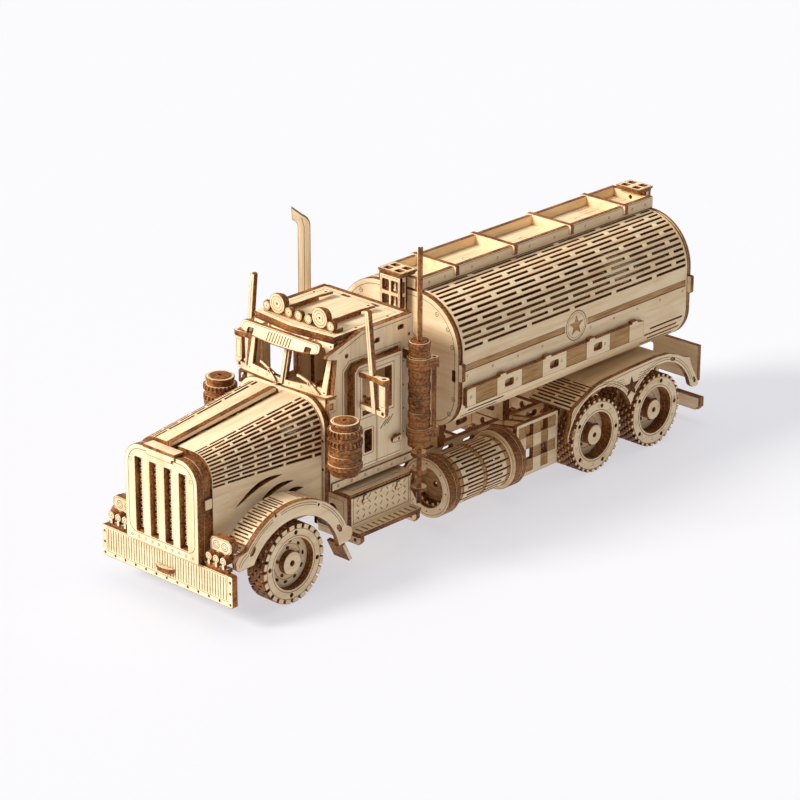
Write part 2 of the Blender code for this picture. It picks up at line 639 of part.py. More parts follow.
def make_tool_boxes():
    start = COWL_Y + 8.4
    inner = CHASSIS_HALF_WIDTH + GAP
    outer = inner + BOX_WIDTH
    for name, side in sides():
        low, high = span(side, inner, outer)
        case = box(f"tool_box_{name}", LIGHT, (low, start, BOX_LOW), (high, start + BOX_LENGTH, BOX_TOP))
        low, high = span(side, inner + 2, outer + STEP_WIDTH)
        y0, y1 = start - 0.6, start + BOX_LENGTH + 0.6
        step = box(f"{name}_step", PALE, (low, y0, STEP_Z - PLY), (high, y1, STEP_Z))
        cheeks = []
        for i, y in enumerate((y0 + 1.1, y1 - PLY - 1.1)):
            corners = (low, y, STEP_Z - 5.6), (high, y + PLY, STEP_Z - PLY / 2)
            cheeks.append(box(f"{name}_cheek_{i}", LIGHT, *corners))
        join(case, step, *cheeks)


def make_side_panels():
    """A pierced panel closes the side between the fuel tank and the rear fender."""
    start = FUEL_Y + FUEL_LENGTH + 1.2
    end = REAR_AXLE_Y[0] - WHEEL_RADIUS - 1.2
    columns, rows, frame = 4, 3, 2.2
    wide = (end - start - frame) / columns
    tall = (PANEL_TOP - PANEL_LOW - frame) / rows
    holes = []
    for i in range(columns):
        for j in range(rows):
            if (i + j) % 2:
                y, z = start + frame + i * wide, PANEL_LOW + frame + j * tall
                holes.append(rectangle(y, z, y + wide - frame, z + tall - frame))
    for name, side in sides():
        low, high = span(side, PANEL_X, PANEL_X + PLY)
        outline = rectangle(start, PANEL_LOW, end, PANEL_TOP)
        panel = plate(f"side_panel_{name}", PALE, "X", low, high, outline, holes)
        low, high = span(side, CHASSIS_HALF_WIDTH + GAP, PANEL_X + PLY / 2)
        shelf_z = PANEL_LOW + frame / 2 + 2 * tall
        join(panel, box(f"{name}_shelf", LIGHT, (low, start, shelf_z - 0.8), (high, end, shelf_z + 0.8)))


def wheel(name, side, station, face, width, dish):
    """A tyre and its dished rim as one turned piece on the axle."""
    rim, hub, bore = RIM_RADIUS, HUB_RADIUS, AXLE_RADIUS + 0.4
    tyre = WHEEL_RADIUS
    inner = face - width
    profile = [(bore, face - dish - 4.2), (bore, inner), (tyre, inner), (tyre, face), (rim, face)]
    profile += [(rim - 1.2, face - dish), (hub, face - dish), (hub - 0.4, face - 0.8), (0, face - 0.8)]
    profile = [(0, face - dish - 4.2), *profile]
    profile = [(r, side * h) for r, h in profile]
    piece = turned(name, PALE, "X", Vector((0, station, tyre)), profile, 40)
    return put_origin(piece, side * face, station, tyre)


def axle(name, station, face, dish):
    reach = face - dish - 4.2 - GAP
    profile = [(0, -reach), (AXLE_RADIUS, -reach), (AXLE_RADIUS, reach), (0, reach)]
    piece = turned(name, BURNT, "X", Vector((0, station, WHEEL_RADIUS)), profile, 16)
    return put_origin(piece, 0, station, WHEEL_RADIUS)


def make_wheelsets():
    axle("front_axle", FRONT_AXLE_Y, FRONT_WHEEL_FACE, DISH_DEPTH)
    for name, side in sides():
        wheel(f"front_wheel_{name}", side, FRONT_AXLE_Y, FRONT_WHEEL_FACE, FRONT_WHEEL_WIDTH, DISH_DEPTH)
    for i, station in enumerate(REAR_AXLE_Y, 1):
        axle(f"rear_axle_{i}", station, REAR_WHEEL_FACE, REAR_DISH_DEPTH)
        for name, side in sides():
            wheel(f"rear_wheel_{i}_{name}", side, station, REAR_WHEEL_FACE, DUAL_WIDTH, REAR_DISH_DEPTH)


def make_rear_fenders():
    front, rear = REAR_AXLE_Y
    arch, lift, top = REAR_ARCH_RADIUS, WHEEL_RADIUS + 0.6, REAR_FENDER_TOP
    meet = math.degrees(math.acos((rear - front) / 2 / arch))
    start = front - arch
    crown = [(start - 1.6, lift + 3.4), (start - 1.2, lift + 7), (start + 1.4, lift + 15)]
    crown += [(front - arch + 4.2, lift + 18), (front - 7, top - 2), (front + 1, top - 0.9)]
    crown += [(front + REAR_AXLE_SPACING / 2, top), (rear + 9, top), (rear + arch - 1.8, top - 3)]
    crown += [(rear + arch + 2, top - 7), (rear + arch + 6, lift + 7.4), (rear + arch + 2, lift + 5)]
    low = arc((rear, lift), arch, 12, 180 - meet, 14) + arc((front, lift), arch, meet, 174, 14)
    sheet = ribbon([(front - WHEEL_RADIUS, lift + 15.4), (front - 12, top - 4.2), (front - 2, top - 2),
                    (front + 12, top - 1.4), (rear + 9, top - 1.4), (rear + 14, top - 2.4)], THIN)
    for name, side in sides():
        low_x, high_x = span(side, REAR_FENDER_FACE - PLY, REAR_FENDER_FACE)
        plate(f"rear_fender_{name}", PALE, "X", low_x, high_x, crown + low)
        low_x, high_x = span(side, SADDLE_HALF_WIDTH + GAP, REAR_FENDER_FACE - PLY - GAP)
        plate(f"rear_fender_shell_{name}", PALE, "X", low_x, high_x, sheet)


def make_tail():
    end = TAIL_END_Y
    outline = rectangle(-TAIL_HALF_WIDTH, TAIL_LOW, TAIL_HALF_WIDTH, TAIL_TOP)
    plate("tail_plate", PALE, "Y", end - PLY - TAIL_SET_BACK, end - TAIL_SET_BACK, outline)
    low, top, half = REAR_BUMPER_LOW, REAR_BUMPER_TOP, TAIL_HALF_WIDTH
    bar = [(-half, low + 2), (-half + 2, low), (half - 2, low), (half, low + 2), (half, top), (-half, top)]
    bumper = plate("rear_bumper", LIGHT, "Y", end - 3, end, bar)
    for i, x in enumerate((-8, 5)):
        join(bumper, box(f"hanger_{i}", LIGHT, (x, end - 3, low + 1), (x + 3, end - 0.6, CHASSIS_TOP)))


def main():
    clear_scene()
    make_bumper()
    make_grille()
    make_hood()
    make_headlamps()
    make_front_fenders()
    make_cowl()
    make_windshield()
    make_roof()
    make_cab_sides()
    make_doors()
    make_air_cleaners()
    make_exhausts()
    make_tank()
    make_catwalk()
    make_skirts()
    make_chassis()
    make_fuel_tanks()
    make_tool_boxes()
    make_side_panels()
    make_wheelsets()
    make_rear_fenders()
    make_tail()


main()
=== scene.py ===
import math

import bmesh
import bpy
from mathutils import Matrix, Vector
from mathutils.geometry import delaunay_2d_cdt


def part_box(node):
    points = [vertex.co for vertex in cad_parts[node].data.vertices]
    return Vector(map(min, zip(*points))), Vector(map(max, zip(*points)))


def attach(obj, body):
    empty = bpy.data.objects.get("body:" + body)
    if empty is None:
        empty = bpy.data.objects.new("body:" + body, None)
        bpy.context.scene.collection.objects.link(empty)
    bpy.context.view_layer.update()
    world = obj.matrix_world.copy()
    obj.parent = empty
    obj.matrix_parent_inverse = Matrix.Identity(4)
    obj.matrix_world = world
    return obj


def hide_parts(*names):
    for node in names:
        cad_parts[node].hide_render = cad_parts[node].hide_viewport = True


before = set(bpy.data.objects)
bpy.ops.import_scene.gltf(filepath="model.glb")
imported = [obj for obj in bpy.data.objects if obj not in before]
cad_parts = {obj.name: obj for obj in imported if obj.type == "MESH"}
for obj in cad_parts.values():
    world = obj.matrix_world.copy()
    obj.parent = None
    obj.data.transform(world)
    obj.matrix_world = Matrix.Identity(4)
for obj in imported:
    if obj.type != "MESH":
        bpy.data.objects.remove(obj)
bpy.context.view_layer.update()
mm = 0.001
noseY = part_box("front_bumper")[0].y / mm      # stations count rearwards from the bumper's face
sides = (("Left", "_left", 1), ("Right", "_right", -1))
print("frame loaded:", len(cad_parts), "nodes")


def span(node):
    # a CAD node's ends in millimetres: x, then y as stations, then z
    low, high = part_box(node)
    return low.x / mm, high.x / mm, low.y / mm - noseY, high.y / mm - noseY, low.z / mm, high.z / mm


def flank(node):
    # the same for a piece on one side, with its near and far distance from the truck's middle
    x0, x1, *rest = span(node)
    return (*sorted((abs(x0), abs(x1))), *rest)


class Shade:
    # a socket of a node tree that takes part in sums
    def __init__(self, tree, socket=None):
        self.tree, self.socket = tree, socket

    def node(self, kind, settings, inputs, output=0):
        made = self.tree.nodes.new(kind)
        for name, value in settings.items():
            if name == "stops":
                elements = made.color_ramp.elements
                while len(elements) < len(value):
                    elements.new(1.0)
                for element, (position, colour) in zip(elements, value):
                    element.position, element.color = position, (*colour, 1)
            else:
                setattr(made, name, value)
        for name, value in inputs.items():
            if isinstance(value, Shade):
                self.tree.links.new(value.socket, made.inputs[name])
            else:
                made.inputs[name].default_value = value
        return Shade(self.tree, made.outputs[output])

    def sum(self, operation, first, second):
        return self.node("ShaderNodeMath", {"operation": operation}, {0: first, 1: second})

    def __add__(self, other):
        return self.sum("ADD", self, other)

    def __radd__(self, other):
        return self.sum("ADD", other, self)

    def __sub__(self, other):
        return self.sum("SUBTRACT", self, other)

    def __rsub__(self, other):
        return self.sum("SUBTRACT", other, self)

    def __mul__(self, other):
        return self.sum("MULTIPLY", self, other)

    def __rmul__(self, other):
        return self.sum("MULTIPLY", other, self)

    def ramp(self, *stops):
        return self.node("ShaderNodeValToRGB", {"stops": stops}, {0: self})

    def between(self, low, high):
        # 0 below low, 1 above high
        inputs = {"Value": self, "From Min": low, "From Max": high}
        return self.node("ShaderNodeMapRange", {"clamp": True}, inputs)

    def blend(self, how, factor, second):
        settings = {"data_type": "RGBA", "blend_type": how}
        return self.node("ShaderNodeMix", settings, {0: factor, 6: self, 7: (*second, 1)}, 2)

    def noise(self, scale, detail=3.0):
        # self is a position; scale holds waves per metre along x, y and z
        stretched = self.node("ShaderNodeVectorMath", {"operation": "MULTIPLY"}, {0: self, 1: scale})
        return self.node("ShaderNodeTexNoise", {}, {"Vector": stretched, "Scale": 1.0, "Detail": detail})


woods = {
    "paleCream": (0.96, 0.765, 0.50),
    "paleSand": (0.87, 0.645, 0.385),
    "paleShade": (0.74, 0.50, 0.26),
    "fleck": (0.42, 0.24, 0.10),
    "smoke": (0.72, 0.52, 0.34),
    "rasterLight": (0.56, 0.33, 0.14),
    "rasterDark": (0.35, 0.175, 0.062),
    "burntLight": (0.41, 0.17, 0.046),
    "burntMid": (0.20, 0.066, 0.015),
    "burntDark": (0.066, 0.020, 0.006),
    "char": (0.050, 0.017, 0.007),
    "along": 55.0, "across": 620.0,           # long grain waves per metre
    "fineAlong": 240.0, "fineAcross": 2600.0,
    "gloss": 0.28, "relief": 0.6,
}


def stretch(grain, along, across):
    return tuple(along if axis == grain else across for axis in "xyz")


def begin(name):
    material = bpy.data.materials.new(name)
    material.use_nodes = True
    where = Shade(material.node_tree).node("ShaderNodeTexCoord", {}, {}, "Object")
    return material, where


def finish(material, colour, roughness, height, depth):
    links, shader = material.node_tree.links, material.node_tree.nodes["Principled BSDF"]
    bump = height.node("ShaderNodeBump", {}, {"Height": height, "Distance": depth,
                                              "Strength": woods["relief"]})
    for value, name in ((colour, "Base Color"), (roughness, "Roughness"), (bump, "Normal")):
        links.new(value.socket, shader.inputs[name])
    shader.inputs["Specular IOR Level"].default_value = woods["gloss"]
    return material


def birchFinish(grain):
    # the sanded face of the plywood: soft bands, fine fibre, pores and a few smoke marks
    material, where = begin("birch_" + grain)
    bands = where.noise(stretch(grain, woods["along"] * 0.4, woods["across"] * 0.45), 2.0)
    fibre = where.noise(stretch(grain, woods["along"], woods["across"]), 4.0)
    fine = where.noise(stretch(grain, woods["fineAlong"], woods["fineAcross"]), 2.0)
    tone = bands * 0.45 + fibre * 0.4 + fine * 0.15
    colour = tone.ramp((0.28, woods["paleShade"]), (0.42, woods["paleSand"]), (0.56, woods["paleCream"]))
    pores = fine.between(0.63, 0.72) * fibre.between(0.48, 0.6) * 0.5
    smoky = where.noise((38.0, 38.0, 38.0)).between(0.56, 0.78) * 0.32
    colour = colour.blend("MIX", pores, woods["fleck"]).blend("MULTIPLY", smoky, woods["smoke"])
    return finish(material, colour, 0.72 - fibre * 0.22, fibre * 0.5 + fine * 0.5, 0.00012)


def burntFinish():
    # laser-cut edges: brown with darker scorched strokes and lighter plies; also painted shade on the back
    # faces of slit sheets
    material, where = begin("burntEdge")
    broad = where.noise((90.0, 90.0, 90.0), 2.0)
    strokes = where.noise((1100.0, 1100.0, 1100.0), 2.0)
    tone = broad * 0.45 + strokes * 0.55
    colour = tone.ramp((0.34, woods["burntDark"]), (0.47, woods["burntMid"]), (0.60, woods["burntLight"]))
    return finish(material, colour, 0.62 - broad * 0.2, strokes, 0.00014)


def rasterFinish(grain):
    # areas the laser has scanned brown, with the wood's grain showing through; also painted shade on the
    # board inside the tank drum
    material, where = begin("raster_" + grain)
    fibre = where.noise(stretch(grain, 110.0, 1500.0))
    cloud = where.noise((120.0, 120.0, 120.0), 2.0)
    colour = (fibre * 0.75 + cloud * 0.25).ramp((0.36, woods["rasterDark"]), (0.62, woods["rasterLight"]))
    return finish(material, colour, 0.85 - cloud * 0.1, fibre, 0.0002)


def charFinish():
    # engraved lines, and painted shade on the block under the hood
    material, where = begin("charLine")
    cloud = where.noise((700.0, 700.0, 700.0), 2.0)
    colour = cloud.ramp((0.35, woods["char"]), (0.65, woods["burntMid"]))
    return finish(material, colour, 0.8 - cloud * 0.1, cloud, 0.0001)


finishes = {"edge": burntFinish(), "char": charFinish()}
for grain in "xyz":
    finishes["face" + grain] = birchFinish(grain)
    finishes["raster" + grain] = rasterFinish(grain)
face, edge, raster, char = 0, 1, 2, 3          # places in each piece's list of finishes
print("finishes made:", len(finishes))


# Flat drawings are closed lists of (a, b) in millimetres.
def rect(a0, b0, a1, b1):
    return [(a0, b0), (a1, b0), (a1, b1), (a0, b1)]


def across(side, a0, b0, a1, b1):
    # a rectangle's ends on the left (1) or the right (-1) of the middle
    return (a0, b0, a1, b1) if side > 0 else (-a1, b0, -a0, b1)


def around(centre, radius, degrees):
    turn = math.radians(degrees)
    return centre[0] + radius * math.cos(turn), centre[1] + radius * math.sin(turn)


def arc(centre, radius, start, end, steps):
    return [around(centre, radius, start + (end - start) * i / steps) for i in range(steps + 1)]


def circle(centre, radius, steps=24):
    return arc(centre, radius, 0, 360, steps)[:-1]


def oval(centre, length, width, turn=0, steps=5):
    reach = (length - width) / 2
    c, s = math.cos(math.radians(turn)), math.sin(math.radians(turn))
    ends = arc((reach, 0), width / 2, -90, 90, steps) + arc((-reach, 0), width / 2, 90, 270, steps)
    return [(centre[0] + a * c - b * s, centre[1] + a * s + b * c) for a, b in ends]


def roundRect(a0, b0, a1, b1, radius, steps=4, top=None):
    top = radius if top is None else top
    low = arc((a1 - radius, b0 + radius), radius, -90, 0, steps)
    high = arc((a1 - top, b1 - top), top, 0, 90, steps) + arc((a0 + top, b1 - top), top, 90, 180, steps)
    return low + high + arc((a0 + radius, b0 + radius), radius, 180, 270, steps)


def inside(corners, gap, radius, steps=4, top=None):
    # a rounded rectangle that stays a gap inside the given one
    a0, b0, a1, b1 = corners
    return roundRect(a0 + gap, b0 + gap, a1 - gap, b1 - gap, radius, steps, top)


def bothWays(half):
    # an outline that is the same left and right of the middle
    return half + [(-a, b) for a, b in reversed(half)]


def stroke(path, width):
    # the outline of a line drawn along a path
    left, right = [], []
    for i, (a, b) in enumerate(path):
        before, after = path[max(i - 1, 0)], path[min(i + 1, len(path) - 1)]
        da, db = after[0] - before[0], after[1] - before[1]
        size = math.hypot(da, db) or 1.0
        da, db = da / size * width / 2, db / size * width / 2
        left.append((a - db, b + da))
        right.append((a + db, b - da))
    return left + right[::-1]


def leftward(loop):
    area = sum(loop[i - 1][0] * loop[i][1] - loop[i][0] * loop[i - 1][1] for i in range(len(loop)))
    return list(loop) if area > 0 else list(loop)[::-1]


def offset(loop, width):
    # the outline moved to its own left by a width
    moved = []
    for i, (a, b) in enumerate(loop):
        before, after = Vector(loop[i - 1]), Vector(loop[(i + 1) % len(loop)])
        first, second = (Vector((a, b)) - before).normalized(), (after - Vector((a, b))).normalized()
        along = (first + second).normalized()
        reach = width / max(0.5, along.dot(first))
        moved.append((a - along.y * reach, b + along.x * reach))
    return moved


class Band(list):
    # the ground between two closed outlines
    pass


def gear(centre, root, tip, teeth, share=0.5, phase=0.0):
    points = []
    gap = 180 / teeth
    half = gap * share
    for i in range(teeth):
        middle = phase + 360 * i / teeth
        points += arc(centre, root, middle - gap, middle - half, 1)
        points += arc(centre, tip, middle - half, middle + half, 2)
        points.append(around(centre, root, middle + half))
    return points


def star(centre, radius, turn=90, waist=0.42):
    return [around(centre, radius * (waist if i % 2 else 1.0), turn + 36 * i) for i in range(10)]


# Cuts are (outline, depth, finish), engraved into a sheet's front.
def line(loop, width, depth=0.14, kind=raster):
    loop = leftward(loop)
    return Band([offset(loop, -width / 2), offset(loop, width / 2)]), depth, kind


def hoop(spot, radius, width=0.24, depth=0.14, kind=raster, steps=20):
    return line(circle(spot, radius, steps), width, depth, kind)


def dot(spot, radius, depth=0.3):
    return circle(spot, radius, 8), depth, char


def scratch(path, width, depth=0.16, kind=raster):
    return stroke(path, width), depth, kind


def pinMark(spot, radius=0.45, steps=10):
    return hoop(spot, radius, 0.2, 0.14, char, steps)


def rivet(spot, eye=0.16):
    return [pinMark(spot, 0.5, 12), dot(spot, eye, 0.2)]


def dashes(first, low, high, length, gap, least):
    # the ends of each slit in a row that starts at first, kept between low and high
    ends = []
    while first < high:
        a, b = max(first, low), min(first + length, high)
        if b - a > least:
            ends.append((a, b))
        first += length + gap
    return ends


def at(axis, pair, depth):
    a, b = pair
    return {"x": Vector((depth, a, b)), "y": Vector((a, depth, b)), "z": Vector((a, b, depth))}[axis]


class Piece:
    # gathers laser-cut sheets into one mesh that stands for a CAD node
    def __init__(self, name, side=1):
        self.name, self.side = name, side
        self.points, self.faces, self.kinds = [], [], []

    def sheet(self, axis, back, front, outline, holes=(), cuts=(), skin=face, bends=(), bend=None, rim=0.2,
              paintedShadeBack=False):
        # a sheet between two levels, pierced by holes, cut on its front, and bent along lines if asked
        pairs, loops, lines = [], [], []

        def draw(loop):
            loops.append(list(range(len(pairs), len(pairs) + len(loop))))
            pairs.extend(Vector(pair) for pair in loop)
            return len(loops) - 1

        outline, holes = leftward(outline), [leftward(hole) for hole in holes]
        draw(outline)
        gaps = {draw(hole) for hole in holes}
        sound = draw(offset(outline, rim)) if rim else 0
        scorches = {draw(offset(hole, -rim)) for hole in holes} if rim else set()
        marks = []
        for loop, depth, kind in cuts:
            outer, *inner = loop if isinstance(loop, Band) else [loop]
            marks.append((draw(leftward(outer)), {draw(leftward(other)) for other in inner}, depth, kind))
        for a, b in bends:
            lines.append((len(pairs), len(pairs) + 1))
            pairs += [Vector(a), Vector(b)]
        flat, _, cells, _, _, owners = delaunay_2d_cdt(pairs, lines, loops, 1, 1e-5)
        way = 1 if front > back else -1
        kept, uses = [], {}
        for cell, owner in zip(cells, owners):
            owner = set(owner)
            if 0 not in owner or owner & gaps:
                continue
            level, kind = front, skin
            for include, leave, depth, mark in marks:
                if include in owner and not owner & leave:
                    level, kind = front - way * depth, mark
            scorched = sound not in owner or bool(owner & scorches)
            kept.append((cell, level, edge if scorched and kind == skin else kind, scorched))
            for i in range(len(cell)):
                uses.setdefault(frozenset((cell[i - 1], cell[i])), []).append(level)
        rims = {i for ends, levels in uses.items() if len(levels) == 1 for i in ends}
        known = {}

        def corner(i, level):
            if rim and i in rims and level != back:
                level -= way * rim * 0.45                       # the scorched rim is a narrow bevel
            if (i, level) not in known:
                point = at(axis, flat[i], level)
                known[i, level] = len(self.points)
                self.points.append(bend(point) if bend else point)
            return known[i, level]

        for cell, level, kind, scorched in kept:
            self.faces.append([corner(i, level) for i in cell])
            self.kinds.append(kind)
            self.faces.append([corner(i, back) for i in reversed(cell)])
            # the back face takes the burnt edge colour as painted shade where paintedShadeBack is set
            self.kinds.append(edge if scorched or paintedShadeBack else skin)
        for (a, b), levels in uses.items():
            low, high = (back, levels[0]) if len(levels) == 1 else levels
            if low != high:
                self.faces.append([corner(a, low), corner(b, low), corner(b, high), corner(a, high)])
                self.kinds.append(edge)

    def box(self, low, high):
        (x0, y0, z0), (x1, y1, z1) = low, high
        self.sheet("z", z0, z1, rect(x0, y0, x1, y1))

    def take(self, other, side):
        # adds another piece's sheets, mirrored where side is -1
        base = len(self.points)
        self.points += [Vector((side * p.x, p.y, p.z)) for p in other.points]
        self.faces += [[base + i for i in loop] for loop in other.faces]
        self.kinds += other.kinds

    def make(self, node, body="truck", slot="birch", grain="y"):
        mesh = bpy.data.meshes.new(self.name)
        points = [(self.side * p.x * mm, (p.y + noseY) * mm, p.z * mm) for p in self.points]
        mesh.from_pydata(points, [], self.faces)
        mesh.polygons.foreach_set("material_index", self.kinds)
        for kind in ("face" + grain, "edge", "raster" + grain, "char"):
            mesh.materials.append(finishes[kind])
        shape = bmesh.new()
        shape.from_mesh(mesh)
        bmesh.ops.recalc_face_normals(shape, faces=shape.faces)
        shape.to_mesh(mesh)
        shape.free()
        mesh.shade_smooth()
        mesh.set_sharp_from_angle(angle=math.radians(32))
        made = bpy.data.objects.new(self.name, mesh)
        bpy.context.scene.collection.objects.link(made)
        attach(made, body)
        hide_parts(node)


bumper = {"pin": 0.42, "pinInset": 1.3, "pinRise": 4.6, "pinsLow": 13, "border": 3.3, "ribPitch": 1.46,
          "ribWidth": 0.4, "hookSlot": 5.5}


def makeBumper():
    look = bumper
    x0, x1, y0, y1, z0, z1 = span("front_bumper")
    gap = look["pinInset"]
    pins = [(x, z0 + gap + i * look["pinRise"]) for x in (x0 + gap, x1 - gap) for i in range(3)]
    step = (x1 - x0 - 2 * gap) / (look["pinsLow"] - 1)
    pins += [(x0 + gap + i * step, z0 + gap) for i in range(1, look["pinsLow"] - 1)]
    left, right, low, high = x0 + look["border"], x1 - look["border"], z0 + 2.7, z1 - 1.2
    cuts = [line(roundRect(left - 0.7, low - 0.5, right + 0.7, high + 0.6, 0.8), 0.24, 0.12)]
    count = int((right - left) / look["ribPitch"])
    for i in range(count + 1):
        a = left + i * (right - left - look["ribWidth"]) / count
        cuts.append((rect(a, low, a + look["ribWidth"], high), 0.28, raster))
    board = Piece("frontBumper")
    board.sheet("y", y1, y0, roundRect(x0, z0, x1, z1, 0.8), [circle(pin, look["pin"], 10) for pin in pins],
                cuts)
    board.make("front_bumper", grain="x")

    x0, x1, y0, y1, z0, z1 = span("tow_hook")
    hook = Piece("towHook")
    middle = (z0 + z1) / 2
    cuts = [line(oval((0, y1 - 1.0), look["hookSlot"], 0.9), 0.2, 0.1)]
    for low, high, size in ((z0, middle - 0.03, 0.9), (middle + 0.03, z1, 1.0)):
        plan = [(a * size * x1, y1 + b * size * (y1 - y0)) for a, b in arc((0, 0), 1, 180, 360, 16)]
        hook.sheet("z", low, high, plan, cuts=cuts)
    hook.make("tow_hook", slot="engraved", grain="x")


grilleLook = {"insets": (0.0, 0.4, 0.1, 0.45), "topCorner": 9.0, "slotWidth": 4.2, "slotPitch": 8.2,
              "slotLow": 27.5, "slotTop": 58.5, "beadPitch": 2.35, "bead": 0.75, "beadHole": 0.3,
              "rivets": 10}


def makeGrille():
    look = grilleLook
    x0, x1, y0, y1, z0, z1 = span("grille")
    low, top, half = look["slotLow"], look["slotTop"], look["slotWidth"] / 2
    middles = [(i - 1.5) * look["slotPitch"] for i in range(4)]
    slots = [roundRect(a - half, low, a + half, top, 0.4, 2) for a in middles]
    cuts = [line(roundRect(x0 + 1.9, z0 + 3.6, x1 - 1.9, z1 - 1.9, 4.0, 6, 7.3), 0.32, 0.16)]
    for i in range(look["rivets"]):
        cuts += rivet((x0 + 3.2 + i * (x1 - x0 - 6.4) / (look["rivets"] - 1), z0 + 1.9))
    cuts += [hoop((s * (x1 - 3.4), z1 - 7.4), 0.75, 0.22, steps=14) for s in (1, -1)]
    stack = Piece("grilleStack")
    thick = (y1 - y0) / len(look["insets"])
    for i, gap in enumerate(look["insets"]):
        layer = roundRect(x0 + gap, z0 + gap, x1 - gap, z1 - gap, 0.9, 8, look["topCorner"] - gap)
        stack.sheet("y", y0 + (i + 1) * thick - 0.06, y0 + i * thick, layer, slots, [] if i else cuts)
    # the flange over the top, and a tab on each side
    flange = bothWays([(8.6, z1 + 0.3), (8.6, z1 - 1.3), (7.0, z1 - 1.3), (7.0, z1 - 2.6)])
    stack.sheet("y", y0 - 0.04, y0 - 0.8, flange)
    stack.sheet("z", z1 + 0.32, z1 + 1.3, rect(-8.6, y0 - 0.8, 8.6, y0 + 4.4))
    for s in (1, -1):
        stack.sheet("x", s * x1, s * (x1 + 0.7), roundRect(y0 + 3.2, 45.0, y1 - 0.2, 49.4, 0.4, 2))
    # a beaded strip stands in each slot
    for right in [a + half for a in middles]:
        wave, holes = [(right + 0.2, low + 0.4)], []
        z = low + 0.9 + look["bead"]
        while z <= top - 1:
            wave += arc((right - 3.15, z), look["bead"], -75, -285, 6)
            holes.append(circle((right - 3.15, z), look["beadHole"], 8))
            z += look["beadPitch"]
        wave.append((right + 0.2, top - 0.4))
        stack.sheet("y", y0 + 3.2, y0 + 2.1, wave, holes, rim=0.12)
    stack.make("grille", grain="z")


hoodLook = {"rows": 13, "firstRow": 9.6, "rowPitch": 1.42, "fan": 0.34, "slit": 0.54, "slitLength": 13.2,
            "slitGap": 1.7, "frontHalf": 20.4, "frontTop": 65.0, "corner": 9.5, "cornerGrowth": 1.5,
            "ribHalf": 1.5, "foot": 27.0, "blade": 0.95,
            "sweeps": ((29.0, 5.4, 24.0, 16), (36.5, 9.6, 21.0, 19), (44.5, 13.2, 15.0, 22))}


def hoodSkin(y0, rearHalf, y1, rearTop):
    # maps a flat sheet (along the section, along the truck) onto the tapering hood
    look = hoodLook
    fromHalf, fromTop, rib, foot = look["frontHalf"], look["frontTop"], look["ribHalf"], look["foot"]
    turnStart = fromHalf - look["corner"] - rib
    sideStart = turnStart + look["corner"] * math.pi / 2
    drop = fromTop - look["corner"] - foot

    def bend(point):
        share = (point.y - y0) / (y1 - y0)
        half, top = fromHalf + (rearHalf - fromHalf) * share, fromTop + (rearTop - fromTop) * share
        corner = look["corner"] + look["cornerGrowth"] * share
        u, lift = point.x, point.z
        if u <= turnStart:
            return Vector((rib + u * (half - corner - rib) / turnStart, point.y, top + lift))
        if u <= sideStart:
            turn, r = (u - turnStart) / look["corner"], corner + lift
            return Vector((half - corner + r * math.sin(turn), point.y, top - corner + r * math.cos(turn)))
        down = (u - sideStart) * (top - corner - foot) / drop
        return Vector((half + lift, point.y, top - corner - down))

    return bend, turnStart, sideStart + drop


def makeHood():
    look = hoodLook
    for name, tag, side in sides:
        near, far, y0, y1, z0, z1 = flank("hood_sheet" + tag)
        bend, turnStart, length = hoodSkin(y0, far, y1, z1)
        share = 1 / (y1 - y0)

        def fan(row, y):
            # the rows spread apart towards the cab
            return look["firstRow"] + row * look["rowPitch"] * (1 + look["fan"] * (y - y0) * share)

        holes = []
        for row in range(look["rows"]):
            first = y0 + 0.6 - (0 if row % 2 else (look["slitLength"] + look["slitGap"]) / 2)
            for a, b in dashes(first, y0 + 0.6, y1 - 0.6, look["slitLength"], look["slitGap"], 2):
                start, end = [look["slit"] * (0.42 + 0.34 * (y - y0) * share) for y in (a, b)]
                holes.append([(fan(row, a) - start, a), (fan(row, a) + start, a), (fan(row, b) + end, b),
                              (fan(row, b) - end, b)])
        bends = [((fan(row, y0), y0), (fan(row, y1), y1)) for row in range(-1, look["rows"])]
        bends.append(((turnStart, y0), (turnStart, y1)))
        # three plain swept slots low on the side
        for station, up, size, slant in look["sweeps"]:
            blade = []
            for j in [*range(9), *range(-7, 0)]:
                t = abs(j) / 8
                tilt = math.tan(math.radians(slant)) * (t - 0.5) * size * 0.8
                rise = tilt + 2.4 * math.sin(t * math.pi) - 1.2
                swell = math.copysign(look["blade"] * math.sin(t * math.pi), j)
                blade.append((length - 23.0 + up - rise - swell, station + (t - 0.5) * size))
            holes.append(blade)
        skin = Piece("hoodSheet" + name, side)
        # the inside face is painted burnt brown, painted shade seen through the slits
        skin.sheet("z", -1.4, 0, rect(0, y0, length, y1), holes, bends=bends, bend=bend, paintedShadeBack=True)
        skin.make("hood_sheet" + tag)

    x0, x1, y0, y1, z0, z1 = span("hood_rib")
    rib = Piece("hoodRib")
    slope = (z1 - z0 - 3.8) / (y1 - y0)
    shape = [(y0 - 3.0, z0 + 1.6), (y1, z0 + 1.6 + slope * (y1 - y0)), (y1, z1 - 0.4), (y1 - 1.6, z1 - 0.1),
             (y0 - 3.0, z0 + 3.7 - slope * 3)]
    for low, high in ((x0, -0.04), (0.04, x1)):
        rib.sheet("x", low, high, shape)
    rib.make("hood_rib", slot="engraved")


lampLook = {"lamps": 3, "pitch": 3.9, "first": 2.2, "height": 4.6, "radii": (1.75, 1.9, 1.5)}


